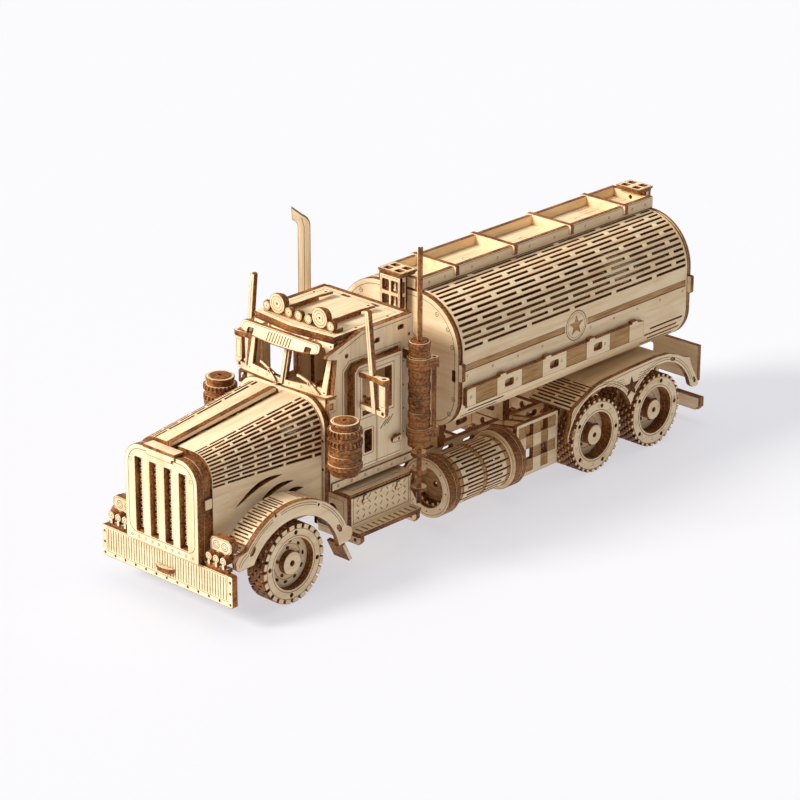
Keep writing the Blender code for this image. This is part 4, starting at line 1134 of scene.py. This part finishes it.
def makeTank():
    look = tankLook
    x0, x1, y0, y1, z0, z1 = span("tank_shell")
    bend, breaks, total = tankSkin(x1, z0, z1)
    turnStart, sideStart, lowStart, lowEnd = breaks
    holes, lines = [], list(breaks)
    for row in range(look["rows"]):
        u, half = turnStart + 1.0 + row * look["rowPitch"], look["slit"] / 2
        first = y0 + 2.0 - ((look["slitLength"] + look["slitGap"]) / 2 if row % 2 else 0)
        for a, b in dashes(first, y0 + 1.4, y1 - 1.4, look["slitLength"], look["slitGap"], 3):
            holes.append(rect(u - half, a, u + half, b))
        lines += [u, u + look["rowPitch"] / 2]
    for row in range(1, look["lowRows"]):
        u = lowStart + row * (lowEnd - lowStart) / look["lowRows"]
        lines.append(u)
        shift = 3.0 if row % 2 else 0.0
        if row < 7:
            for a, b in ((y0 + 3, y0 + 27), (y1 - 27, y1 - 3)):
                holes.append(rect(u - 0.3, a + shift, u + 0.3, b + shift - 2.5))
    # a stripe with a plain star badge in it, and pins along the seam below
    level = sideStart + z1 - look["topCorner"]
    spot, badge = (level - look["badgeZ"], look["badgeY"]), look["badge"]
    ends = [level - z for z in look["stripe"]]
    cuts = []
    for a, b in ((y0 + 1.0, spot[1] - badge - 0.7), (spot[1] + badge + 0.7, y1 - 1.0)):
        cuts.append((rect(ends[0], a, ends[1], b), 0.16, raster))
        cuts += [(rect(u - 0.14, a, u + 0.14, b), 0.24, char) for u in ends]
    cuts += [hoop(spot, badge, 0.36, 0.22, char, 40), hoop(spot, badge - 1.0, 0.2, steps=36),
             (star(spot, badge - 1.7, 180), 0.18, raster)]
    for i in range(look["pins"]):
        y = y0 + 3.0 + i * (y1 - y0 - 6) / (look["pins"] - 1)
        if abs(y - spot[1]) > 8:
            cuts.append(pinMark((ends[1] + 2.0, y), 0.42))
    half, shell = Piece("tankHalf"), Piece("tankSkin")
    bends = [((u, y0), (u, y1)) for u in lines]
    # the inside face is painted burnt brown as painted shade inside the drum
    half.sheet("z", -1.4, 0, rect(0.02, y0, total - 0.02, y1), holes, cuts, bends=bends, bend=bend, paintedShadeBack=True)
    shell.take(half, 1)
    shell.take(half, -1)
    # an inner board keeps the drum dark: coloured raster brown with burnt back faces, it is painted shade
    # seen through the slits
    shell.sheet("z", 58.0, 59.4, rect(-31.2, y0 + 0.5, 31.2, y1 - 0.5), skin=raster, paintedShadeBack=True)
    shell.make("tank_shell", grain="y")

    centre = look["emblem"]
    for node, name, way in (("tank_front_plate", "tankFrontBoard", 1),
                            ("tank_rear_plate", "tankRearBoard", -1)):
        x0, x1, y0, y1, z0, z1 = span(node)
        corners = (x0, z0, x1, z1)
        cuts = [line(inside(corners, 2.2, 12.8, 12, 19.8), 0.3, 0.16)]
        for spot in [(s * a, b) for a, b in look["bolts"] for s in (1, -1)]:
            cuts += [hoop(spot, 0.85, 0.24, 0.16, char, 14), dot(spot, 0.25)]
        cuts += [hoop(centre, 15.0, 0.4, 0.2, steps=48), hoop(centre, 13.4, 0.24, 0.16, steps=48)]
        cuts += [dot(around(centre, 14.2, 45 * i + 22), 0.42) for i in range(8)]
        cuts.append((star(centre, 9.0), 0.2, raster))
        slots = [roundRect(*across(s, 29.6, 63.6, 31.2, 68.4), 0.4, 2) for s in (1, -1)]
        outer, inner = (y0, y1) if way > 0 else (y1, y0)
        middle = (outer + inner) / 2
        board = Piece(name)
        board.sheet("y", middle + way * 0.03, outer, inside(corners, 0, 15.0, 14, 22.0), slots, cuts)
        board.sheet("y", inner, middle + way * 0.06, inside(corners, 0.5, 14.5, 14, 21.5), slots)
        for s in (1, -1):
            tab = roundRect(*across(s, 32.4, 64.2, 35.0, 71.8), 0.5, 2)
            board.sheet("y", inner, outer + way * 0.1, tab)
        board.make(node, grain="x")


catwalkLook = {"bars": 4, "pitch": 35.75, "dashes": 15, "boxHalf": 5.6, "cell": (3.5, 4.6)}


def makeCatwalk():
    look = catwalkLook
    x0, x1, y0, y1, z0, z1 = span("catwalk")
    tray = Piece("catwalkTray")
    bars = [(y0 + y1) / 2 + (i - 1.5) * look["pitch"] + 1.0 for i in range(look["bars"])]
    wall = [(y0 + 0.2, z0), (y1 - 0.2, z0), (y1 - 0.2, z1 - 0.4), (y1 - 0.6, z1), (y0 + 0.6, z1),
            (y0 + 0.2, z1 - 0.4)]
    cuts = [scratch([(y0 + 1.0, z1 - 0.7), (y1 - 1.0, z1 - 0.7)], 0.2, 0.12)]
    for a, b in zip([y0, *bars], [*bars, y1]):
        cuts += [pinMark((a + (b - a) * share, z0 + 2.4)) for share in (0.28, 0.72)]
    for s in (1, -1):
        tray.sheet("x", s * (x1 - 1.9), s * (x1 - 0.1), wall, [], cuts)
    clear = x1 - 1.95
    for y in bars:
        tongue = bothWays([(clear, z0 + 0.3), (clear, z0 + 1.5), (x1 + 1.3, z0 + 1.5), (x1 + 1.3, z1 - 0.1),
                           (x1 + 0.7, z1 + 0.5)])
        tray.sheet("y", y + 0.95, y - 0.95, tongue)
    for y in (y0 + 1.0, y1 - 1.0):
        tray.sheet("y", y + 0.9, y - 0.9, rect(-clear, z0 + 0.3, clear, z1 - 0.3),
                   [circle((0, z0 + 2.6), 0.8, 12)])
    cuts = []
    for i in range(look["dashes"]):
        a = y1 - 30.0 + i * 1.9
        cuts.append(scratch([(-7.5, a), (7.5, a + 3.0)], 0.3, 0.2))
    cuts += [hoop((0, y - 17), 1.5, steps=16) for y in bars]
    tray.sheet("z", z0 - 0.1, z0 + 1.0, rect(-x1 + 2.2, y0 + 2.0, x1 - 2.2, y1 - 2.0), [], cuts)
    tray.make("catwalk", grain="y")

    half, (wide, tall) = look["boxHalf"], look["cell"]
    for name, node, way in (("frontLadderBox", "front_ladder", -1), ("rearLadderBox", "rear_ladder", 1)):
        x0, x1, y0, y1, z0, z1 = span(node)
        box = Piece(name)
        deck = z1 - 2.0
        start, outer = (y1 - 5.2, y1 - 9.4) if way < 0 else (y0 + 5.2, y0 + 9.4)
        low, high = sorted((start, outer))
        levels = (z0 + 1.8, z0 + 8.2)
        cells = [roundRect(x, z, x + wide, z + tall, 0.4, 2) for x in (1.4 - half, 0.7) for z in levels]
        trim = line(inside((-half, z0, half, deck - 0.2), 0.7, 0.5, 2), 0.2, 0.12)
        wall = rect(-half, z0, half, deck - 0.1)
        box.sheet("y", outer - way * 1.4, outer, wall, cells, [trim])
        box.sheet("y", start, start + way, wall, cells)
        panes = [roundRect(low + 1.2, z, high - 1.6, z + tall, 0.4, 2) for z in levels]
        for s in (1, -1):
            cheek = rect(low + 0.1, z0, high - (1.42 if way > 0 else 0.1), deck - 0.1)
            box.sheet("x", s * (half - 1.3), s * half, cheek, panes)
        grid = [roundRect(x, y, x + 3.4, y + 2.8, 0.5, 3) for x in (-4.8, 1.4) for y in (y0 + 1.4, y0 + 5.6)]
        trim = line(roundRect(x0 + 0.7, y0 + 0.6, x1 - 0.7, y1 - 0.6, 0.5, 2), 0.22, 0.12)
        box.sheet("z", deck + 0.98, z1, roundRect(x0, y0, x1, y1, 0.7, 3), grid, [trim])
        box.sheet("z", deck, deck + 0.94, inside((x0, y0, x1, y1), 0.5, 0.7, 3), grid)
        box.make(node, grain="x")


skirtLook = {"fields": 4, "pitch": 28, "field": (5.4, 18.4), "slot": (23.2, 28.4), "pin": 2.4}


def makeSkirts():
    look = skirtLook
    for name, tag, side in sides:
        near, far, y0, y1, z0, z1 = flank("side_skirt" + tag)
        cuts, holes = [], []
        for a in [y0 + look["pitch"] * i for i in range(look["fields"])]:
            start, end = look["field"]
            cuts.append((rect(a + start, z0 + 0.22, a + end, z1 - 0.22), 0.2, raster))
            if a + 30 < y1:
                holes.append(roundRect(a + look["slot"][0], z0 + 2.4, a + look["slot"][1], z1 - 2.4, 0.8, 3))
            if a + look["pin"] < y1 - 1:
                cuts.append(pinMark((a + look["pin"], (z0 + z1) / 2), 0.5))
        outline = [(y0, z0 + 0.6), (y0 + 0.6, z0), (y1 - 0.6, z0), (y1, z0 + 0.6), (y1, z1 - 0.6)]
        for i in range(look["fields"], 0, -1):
            a = y0 + look["pitch"] * i - 6
            outline += [(a + 2, z1), (a + 1.7, z1 + 0.9), (a - 1.7, z1 + 0.9), (a - 2, z1)]
        piece = Piece("sideSkirt" + name, side)
        piece.sheet("x", near, far, outline + [(y0 + 0.6, z1), (y0, z1 - 0.6)], holes, cuts)
        piece.make("side_skirt" + tag, slot="engraved")


chassisLook = {"low": 19.4, "top": 26.0, "half": 9.2, "axleZ": 16.4, "bore": 1.72, "crossbars": 12,
               "slotPitch": 13.2, "floor": (34.0, 36.0), "saddle": 11.0}
axles = (("front_axle", "frontAxlePin", "front_wheelset"), ("rear_axle_1", "rearAxlePin1", "rear_wheelset_1"),
         ("rear_axle_2", "rearAxlePin2", "rear_wheelset_2"))


def makeChassis():
    look = chassisLook
    x0, x1, y0, y1, z0, z1 = span("chassis")
    piece = Piece("chassisFrame")
    low, top, half, axleZ = look["low"], look["top"], look["half"], look["axleZ"]
    stations = [sum(span(node)[2:4]) / 2 for node, _, _ in axles]
    outline = [(y0, top), (y0, low)]
    for y in stations:
        outline += [(y - 4.4, low), (y - 3.2, 14.2), *arc((y, axleZ), 3.2, 205, 335, 8), (y + 3.2, 14.2),
                    (y + 4.4, low)]
    outline += [(y1, low), (y1, top)]
    holes = []
    y = y0 + 12
    while y < y1 - 10:
        if all(abs(y - station) > 9 for station in stations):
            holes.append(roundRect(y - 3.4, low + 2.1, y + 3.4, top - 2.1, 1.0, 3))
        y += look["slotPitch"]
    holes += [circle((station, axleZ), look["bore"], 20) for station in stations]
    for s in (1, -1):
        piece.sheet("x", s * (half - 1.17), s * half, outline, holes)
        piece.sheet("x", s * (half - 2.4), s * (half - 1.23), outline, holes)
    for i in range(look["crossbars"]):
        y = y0 + i * (y1 - y0 - 2.4) / (look["crossbars"] - 1)
        bar = rect(-half + 2.45, low + 0.6, half - 2.45, top - 0.6)
        piece.sheet("y", y + 2.2, y, bar, [circle((0, (low + top) / 2), 1.6, 16)])
    # the cab's floor on two feet
    cabStart, cabEnd = span("cab_side_left")[2:4]
    under, over = look["floor"]
    board = roundRect(x0, cabStart + 1.8, x1, cabEnd - 2.3, 0.6, 2)
    piece.sheet("z", under, over, board, [rect(-14, 74, 14, 79), rect(-14, 96, 14, 99)])
    for y in (cabStart + 7, cabEnd - 10):
        piece.sheet("y", y + 2, y, rect(-half, top - 0.4, half, under))
    # the stacked block under the hood, coloured char with burnt backs as painted shade seen through the hood
    # slits
    for i in range(8):
        y = 12 + i * 6
        piece.sheet("y", y + 3.6, y, roundRect(-15, 26.2, 15, 52 + i * 0.6, 1.5, 3), skin=char, paintedShadeBack=True)
    piece.sheet("z", 26.1, 27.6, rect(-19.5, 9.0, 19.5, 58.0), skin=char, paintedShadeBack=True)
    # seats in the cab, a wheel to steer by, and the dash
    seat = [(86, over), (98.5, over), (101.5, 60.0), (98.6, 60.0), (95.8, 44.5), (86, 43.0)]
    for s in (1, -1):
        for a in [s * (4.5 + 3.2 * i) for i in range(4)]:
            piece.sheet("x", a, a + s * 2.0, seat)
        piece.sheet("y", 97.4, 95.9, rect(*across(s, 4.4, 45.5, 16.2, 59.0)))
    piece.sheet("y", 77.6, 76.4, circle((11, 62), 5.2, 28), [circle((11, 62), 4.1, 24)])
    piece.sheet("y", 77.4, 76.6, stroke([(6.6, 62), (15.4, 62)], 1.3))
    piece.sheet("y", 74.4, 72.8, rect(x0, over, x1, 66.0), [],
                [hoop((a, 60), 2.4, 0.3, 0.2) for a in (-4, 4)])
    # saddles under the tank
    reach, tankLow = look["saddle"], span("tank_shell")[4]
    start, end = span("tank_front_plate")[2], span("tank_rear_plate")[3]
    middle = (stations[1] + stations[2]) / 2
    saddle, hole = rect(-reach, top - 0.4, reach, tankLow - 0.3), roundRect(-6, top + 3, 6, tankLow - 3.5,
                                                                            1.4, 3)
    for y in (start + 12, (start + middle) / 2, middle, end - 14):
        piece.sheet("y", y + 1.95, y, saddle, [hole])
        piece.sheet("y", y + 4.0, y + 2.05, saddle, [hole])
    piece.make("chassis", slot="engraved", grain="y")


def makeAxles():
    for node, name, body in axles:
        x0, x1, y0, y1, z0, z1 = span(node)
        piece = Piece(name)
        piece.sheet("x", x0, x1, circle(((y0 + y1) / 2, (z0 + z1) / 2), (z1 - z0) / 2, 24), skin=raster)
        piece.make(node, body, slot="dark_ply", grain="x")


fuelLook = {"plies": ((0.0, 8.7), (0.45, 8.1), (0.05, 8.7)), "pitch": 2.2, "drum": 11.2, "rows": 40,
            "slit": 0.52}


def makeFuelTanks():
    look = fuelLook
    for name, tag, side in sides:
        near, far, y0, y1, z0, z1 = flank("fuel_tank" + tag)
        centre, radius = ((near + far) / 2, (z0 + z1) / 2), (far - near) / 2
        cx, cz = centre
        piece = Piece("fuelDrum" + name, side)
        for start, way in ((y0, 1), (y1, -1)):
            cuts = [hoop(centre, radius - 1.1, 0.26, steps=44)]
            cuts += [dot(around(centre, radius - 2.4, 45 * j), 0.38) for j in range(8)]
            for i, (gap, bore) in enumerate(look["plies"]):
                a = start + way * i * look["pitch"]
                hole = gear(centre, 7.2, 8.2, 16, 0.5) if i == 1 else circle(centre, bore, 36)
                piece.sheet("y", a + way * 2.14, a, circle(centre, radius - gap, 48), [hole], cuts)
                cuts = []
            # the inner plate at the bottom of the bore
            a = start + way * 5.2
            eye = roundRect(cx - 1.0, cz - 1.0, cx + 1.0, cz + 1.0, 0.4, 2)
            cuts = [hoop(centre, 5.6, 0.3, 0.18, steps=32), hoop(centre, 3.0, 0.26, steps=24)]
            piece.sheet("y", a + way * 1.4, a, circle(centre, 8.4, 36), [eye], cuts, skin=raster)
        # the slit skin rolled into a drum
        drum, rows, half = look["drum"], look["rows"], look["slit"] / 2
        length, y2, y3 = 2 * math.pi * drum, y0 + 6.6, y1 - 6.6
        middle = (y2 + y3) / 2
        holes, lines = [], []
        for i in range(rows):
            u = (i + 0.5) * length / rows
            ends = ((y2 + 1.6, middle - 1.2), (middle + 1.2, y3 - 1.6)) if i % 2 else ((y2 + 6.5, y3 - 6.5),)
            holes += [rect(u - half, a, u + half, b) for a, b in ends]
            lines += [u, u + length / rows / 2]
        bends = [((u, y2), (u, y3)) for u in lines[:-1]]
        bands = [(rect(0.05, y, length - 0.05, y + 2.4), 0.18, raster)
                 for y in (y2 + 1.4, middle - 1.2, y3 - 3.8)]

        def roll(point):
            turn = -point.x / drum - math.pi / 2
            r = drum + point.z
            return Vector((cx + r * math.cos(turn), point.y, cz + r * math.sin(turn)))

        piece.sheet("z", -1.4, 0, rect(0, y2, length, y3), holes, bands, bends=bends, bend=roll)
        piece.make("fuel_tank" + tag, slot="engraved", grain="x")


toolLook = {"depth": 20.4, "low": 14.5, "step": 17.6, "columns": 9, "rows": 4, "treads": 11,
            "treadPitch": 3.1}


def makeToolBoxes():
    look = toolLook
    for name, tag, side in sides:
        near, far, y0, y1, _, z1 = flank("tool_box" + tag)
        y0, y1, z0, outer = y0 + 0.6, y1 - 0.6, look["low"], near + look["depth"]
        middle = (near + outer) / 2
        piece = Piece("toolCase" + name, side)
        # the panel is a plate of small raised dashes
        cuts = [line(rect(y0 + 1.6, z0 + 5.0, y1 - 1.6, z1 - 2.2), 0.26)]
        for i in range(look["columns"]):
            for j in range(look["rows"]):
                spot = (y0 + 4.2 + i * 3.35, z0 + 7.0 + j * 2.6)
                cuts.append((oval(spot, 1.9, 0.55, 45 if (i + j) % 2 else -45, 2), 0.16, raster))
        piece.sheet("x", outer - 1.8, outer, rect(y0 + 0.3, z0, y1 - 0.3, z1 - 0.2), [], cuts)
        trim = line(rect(near + 2, z0 + 2, outer - 4, z1 - 4), 0.24, 0.12)
        for y, way in ((y0 + 0.3, 1), (y1 - 0.3, -1)):
            end = rect(near, z0, outer - 1.85, z1 - 2.0)
            piece.sheet("y", y + way * 1.8, y, end, [circle((middle, z0 + 9), 2.4, 18)], [trim])
        piece.sheet("x", near + 1.6, near, rect(y0 + 0.3, z0, y1 - 0.3, z1 - 2.0))
        piece.sheet("z", z0, z0 + 1.4, rect(near + 0.1, y0 + 0.4, outer - 1.9, y1 - 0.4))
        hatch = [line(roundRect(near + 3, y0 + 3, outer - 2.6, y1 - 3, 1.2, 3), 0.26),
                 hoop((middle, (y0 + y1) / 2), 2.2)]
        piece.sheet("z", z1 - 1.95, z1 - 1.02, roundRect(near, y0, outer, y1, 0.6, 2))
        piece.sheet("z", z1 - 0.98, z1, roundRect(near, y0 - 0.4, outer + 0.5, y1 + 0.4, 0.6, 2), [], hatch)
        # hasps on the face
        hasp = [(1.6, -5.4), (1.6, -4.0), (0.8, -4.0), (0.8, -2.2)]
        for y in (y0 + 8, y1 - 8):
            piece.sheet("x", outer, outer + 0.6, [(y + a, z1 + b) for a, b in bothWays(hasp)])
        # the tread board on two cheeks
        top = look["step"]
        cuts = []
        for y in [y0 + 1.6 + i * look["treadPitch"] for i in range(look["treads"])]:
            cuts.append((rect(outer + 0.8, y, far - 0.9, y + 1.1), 0.22, raster))
        piece.sheet("z", top - 1.0, top, roundRect(near + 2, y0 - 0.6, far, y1 + 0.6, 0.8, 3), [], cuts)
        piece.sheet("z", top - 2.0, top - 1.04, roundRect(near + 2, y0 - 0.3, far - 0.4, y1 + 0.3, 0.8, 3))
        cheek = [(near + 2, top - 2.0), (far - 0.2, top - 2.0), (far - 0.2, top - 4.0),
                 (far - 1.6, top - 5.6),
                 (near + 2, top - 5.6)]
        for y in (y0 + 0.5, y1 - 2.5):
            piece.sheet("y", y + 2.0, y, cheek, [circle((far - 3.4, top - 3.7), 0.6, 10)])
        piece.make("tool_box" + tag, slot="engraved", grain="y")


panelLook = {"columns": 5, "rows": 4, "border": 1.4}


def makeSidePanels():
    columns, rows, border = panelLook["columns"], panelLook["rows"], panelLook["border"]
    for name, tag, side in sides:
        near, far, y0, y1, z0, z1 = flank("side_panel" + tag)
        wide, tall = (y1 - y0 - 2 * border) / columns, (z1 - z0 - 2 * border) / rows
        holes, cuts = [], []
        for i in range(columns):
            for j in range(rows):
                a, b = y0 + border + i * wide, z0 + border + j * tall
                if i % 2 and j % 2:
                    holes.append(inside((a, b, a + wide, b + tall), 0.2, 0.3, 2))
                elif (i + j) % 2:
                    cuts.append((rect(a + 0.1, b + 0.1, a + wide - 0.1, b + tall - 0.1), 0.2, raster))
        piece = Piece("checkPanel" + name, side)
        piece.sheet("x", far - 2.0, far, roundRect(y0, z0, y1, z1, 0.8, 3), holes, cuts)
        stay = [(near, z0 + 13.0), (far - 2.05, z0 + 10.0), (far - 2.05, z1 - 3.0), (near, z1 - 6.0)]
        for y in (y0 + 5, (y0 + y1) / 2, y1 - 7):
            piece.sheet("y", y + 2, y, stay)
        piece.make("side_panel" + tag, grain="y")


rearFenderLook = {
    "arch": 21.4, "lift": 17.0, "hatches": 4,
    "crown": [(193.4, 19.8), (193.2, 22.0), (195.0, 27.0), (195.8, 32.4), (197.2, 34.4), (199.8, 35.4),
              (205.5, 38.0),
              (211.2, 40.2), (217.0, 41.3), (234.0, 42.0), (251.8, 42.4), (260.0, 41.6), (265.6, 39.6),
              (269.6, 37.6),
              (274.3, 36.0), (276.0, 31.6), (279.0, 26.6), (281.2, 22.4), (280.4, 21.2), (276.9, 21.4)],
    "slots": (((197.6, 22.6), 3.6, 1.5, 78), ((210.4, 36.9), 3.6, 1.4, 24), ((262.4, 38.4), 3.6, 1.4, -20),
              ((278.0, 24.6), 3.4, 1.4, -60)),
    "skin": [(198.4, 32.0), (201.2, 34.2), (205.5, 36.6), (211.0, 38.4), (217.0, 39.6), (234.0, 40.3),
             (251.8, 40.7),
             (259.0, 40.2), (264.6, 38.4), (269.0, 36.2), (273.0, 34.2)],
}


def makeRearFenders():
    look = rearFenderLook
    first, last = [sum(span(f"rear_wheel_{i}_left")[2:4]) / 2 for i in (1, 2)]
    arch, lift, middle = look["arch"], look["lift"], (first + last) / 2
    meet = math.degrees(math.acos((last - first) / 2 / arch))
    for name, tag, side in sides:
        near, far = flank("rear_fender" + tag)[:2]
        outline = look["crown"] + arc((last, lift), arch, 16, 180 - meet, 18)
        outline += arc((first, lift), arch, meet, 172, 18) + [(196.0, 18.6)]
        slots = [oval(*slot, 2) for slot in look["slots"]]
        cuts = []
        for axle, start, end in ((first, meet + 14, 166), (last, 22, 166 - meet)):
            for gap, wide in ((1.2, 0.3), (2.2, 0.24)):
                cuts.append(scratch(arc((axle, lift), arch + gap, start, end, 20), wide))
        cuts.append(scratch([(214.0, 39.6), (234.0, 40.7), (251.0, 41.0), (258.6, 40.4)], 0.3))
        cuts.append((star((middle, 33.6), 5.0), 0.3, char))
        for i in range(look["hatches"]):
            z, start, end = 38.4 - i, 2.5 + i * 2.2, 5.2 - i * 0.5
            cuts.append(scratch([(first + start, z), (middle - end, z)], 0.26))
            cuts.append(scratch([(middle + end, z), (last - start, z)], 0.26))
        board = Piece("rearFenderBoard" + name, side)
        board.sheet("x", near, far, outline, slots, cuts, rim=0.1)
        for slot in slots:
            board.sheet("x", near - 1.5, far - 0.5, slot, skin=raster)
        board.make("rear_fender" + tag)

        near, far = flank("rear_fender_shell" + tag)[:2]
        centre, path, lengths = (near + far) / 2, look["skin"], [0.0]
        for a, b in zip(path, path[1:]):
            lengths.append(lengths[-1] + math.dist(a, b))
        total = lengths[-1]
        holes = []
        for i in range(9):
            s = 1.6 + i * 1.7
            ends = ((near + 3, far - 3),) if i % 2 else ((near + 1, centre - 1), (centre + 1, far - 1))
            holes += [rect(a, s - 0.24, b, s + 0.24) for a, b in ends]

        def over(point):
            # the flat skin laid along the path over both wheels
            s = min(max(point.y, 0.0), total)
            i = max(j for j in range(len(path) - 1) if lengths[j] <= s)
            start, end = Vector(path[i]), Vector(path[i + 1])
            way = (end - start).normalized()
            y, z = start + way * (s - lengths[i])
            return Vector((point.x, y - point.z * way.y, z + point.z * way.x))

        shell = Piece("rearFenderShell" + name, side)
        bends = [((near, s), (far, s)) for s in lengths[1:-1]]
        shell.sheet("z", -1.3, 0, rect(near, 0, far, total), holes, [], bends=bends, bend=over)
        for y in (first + 10, last - 10):
            shell.sheet("y", y + 1, y - 1, rect(near, 33.6, near + 9, 38.2))
        shell.make("rear_fender_shell" + tag, grain="y")


tailLook = {"lamps": 3, "firstLamp": 15.5, "lampPitch": 5.6, "lampZ": 28.8, "barTop": 11.6, "hatches": 30,
            "stays": (-8, 5)}


def makeTail():
    look = tailLook
    x0, x1, y0, y1, z0, z1 = span("tail_plate")
    board = Piece("tailBoard")
    for s in (1, -1):
        for i in range(look["lamps"]):
            spot = (s * (look["firstLamp"] + look["lampPitch"] * i), look["lampZ"])
            board.sheet("y", y1, y1 + 1.2, circle(spot, 2.4, 24), [],
                        [hoop(spot, 1.6, 0.26), dot(spot, 0.35, 0.2)])
    trim = line(rect(x0 + 1.2, z0 + 1.2, x1 - 1.2, z1 - 1.2), 0.28)
    board.sheet("y", y0, y1, rect(x0, z0, x1, z1), [roundRect(-8, 23.0, 8, 32.0, 1.0, 3)], [trim])
    board.make("tail_plate", grain="x")

    x0, x1, y0, y1, z0, z1 = span("rear_bumper")
    bar = Piece("rearBumperBar")
    top = look["barTop"]
    centre, middle = (z0 + top) / 2, (y0 + y1) / 2
    outline = [(x0, z0 + 2), (x0 + 2, z0), (x1 - 2, z0), (x1, z0 + 2), (x1, top), (x0, top)]
    cuts = [line([(a * 0.96, centre + (b - centre) * 0.66) for a, b in outline], 0.28)]
    for i in range(look["hatches"]):
        a = -27 + i * 54 / (look["hatches"] - 1)
        cuts.append(scratch([(a - 0.7, z0 + 2.0), (a + 0.7, top - 1.6)], 0.3, 0.2))
    bar.sheet("y", middle + 0.03, y1, outline, [], cuts)
    bar.sheet("y", y0, middle - 0.03, [(a * 0.985, centre + (b - centre) * 0.92) for a, b in outline])
    stay = [(y0, z0 + 1), (y1 - 0.6, z0 + 1), (y1 - 0.6, 20.0), (y0 + 1.4, z1), (y0, z1)]
    for x in [start + 1.5 * i for start in look["stays"] for i in range(2)]:
        bar.sheet("x", x, x + 1.42, stay)
    bar.make("rear_bumper", slot="engraved", grain="x")


for makers, done in (((makeBumper, makeGrille, makeHood, makeHeadlamps, makeFrontFenders), "front end"),
                     ((makeWheels,), "wheels"),
                     ((makeCowl, makeWindshield, makeVisor, makeRoof, makeRoofLamps, makeCabSides, makeDoors,
                       makeMirrors, makeCleaners, makeExhausts), "cab and exhausts"),
                     ((makeTank, makeCatwalk, makeSkirts, makeChassis, makeAxles, makeFuelTanks,
                       makeToolBoxes,
                       makeSidePanels, makeRearFenders, makeTail), "tank and chassis")):
    for maker in makers:
        maker()
    print(done, "made")


shot = {"lens": 142.66, "yaw": 43.1707, "pitch": 21.7857, "roll": 0.1952, "at": (0.82344, -0.89050, 0.52808),
        "shift": (-0.0012, -0.0003)}


def makeCamera():
    a, e, r = (math.radians(shot[key]) for key in ("yaw", "pitch", "roll"))
    back = Vector((math.sin(a) * math.cos(e), -math.cos(a) * math.cos(e), math.sin(e)))
    flat = Vector((math.cos(a), math.sin(a), 0))
    upright = back.cross(flat)
    right = math.cos(r) * flat + math.sin(r) * upright
    up = math.cos(r) * upright - math.sin(r) * flat
    data = bpy.data.cameras.new("camera")
    data.lens, data.sensor_width, data.clip_end = shot["lens"], 36.0, 20.0
    data.shift_x, data.shift_y = shot["shift"]
    camera = bpy.data.objects.new("camera", data)
    camera.matrix_world = Matrix.Translation(Vector(shot["at"])) @ Matrix((right, up,
                                                                           back)).transposed().to_4x4()
    bpy.context.scene.collection.objects.link(camera)
    bpy.context.scene.camera = camera


lamps = {
    "key": {"from": (-0.42, -0.85, 0.68), "size": 20.0, "power": 3.8, "colour": (1.0, 0.965, 0.92)},
    "top": {"from": (-0.15, 0.10, 1.0), "size": 60.0, "power": 0.8, "colour": (1.0, 0.985, 0.96)},
}
room = {"colour": (0.95, 0.965, 1.0), "strength": 0.27, "floor": (0.32, 0.32, 0.325),
        "glow": (0.570, 0.568, 0.60),
        "reach": 6.0}


def makeStudio():
    for name, lamp in lamps.items():
        data = bpy.data.lights.new(name, "SUN")
        data.angle, data.energy, data.color = math.radians(lamp["size"]), lamp["power"], lamp["colour"]
        light = bpy.data.objects.new(name, data)
        light.rotation_euler = Vector(lamp["from"]).to_track_quat("Z", "Y").to_euler()
        bpy.context.scene.collection.objects.link(light)
    world = bpy.data.worlds.new("room")
    world.use_nodes = True
    sky = world.node_tree.nodes["Background"]
    sky.inputs["Color"].default_value = (*room["colour"], 1)
    sky.inputs["Strength"].default_value = room["strength"]
    bpy.context.scene.world = world
    bpy.context.scene.view_settings.view_transform = "Standard"
    mesh = bpy.data.meshes.new("floor")
    r = room["reach"]
    mesh.from_pydata([(-r, -r, 0), (r, -r, 0), (r, r, 0), (-r, r, 0)], [], [(0, 1, 2, 3)])
    floor = bpy.data.objects.new("floor", mesh)
    floor.location.z = -0.0002
    bpy.context.scene.collection.objects.link(floor)
    material, where = begin("paper")
    cloud = where.noise((3.0, 3.0, 3.0), 2.0)
    colour = cloud.ramp((0.3, room["floor"]), (0.7, tuple(c * 0.995 for c in room["floor"])))
    finish(material, colour, 0.95 - cloud * 0.05, cloud, 0.0001)
    shader = material.node_tree.nodes["Principled BSDF"]
    shader.inputs["Emission Color"].default_value = (*room["glow"], 1)
    shader.inputs["Emission Strength"].default_value = 1.0
    mesh.materials.append(material)


makeCamera()
makeStudio()
print("camera and studio made")
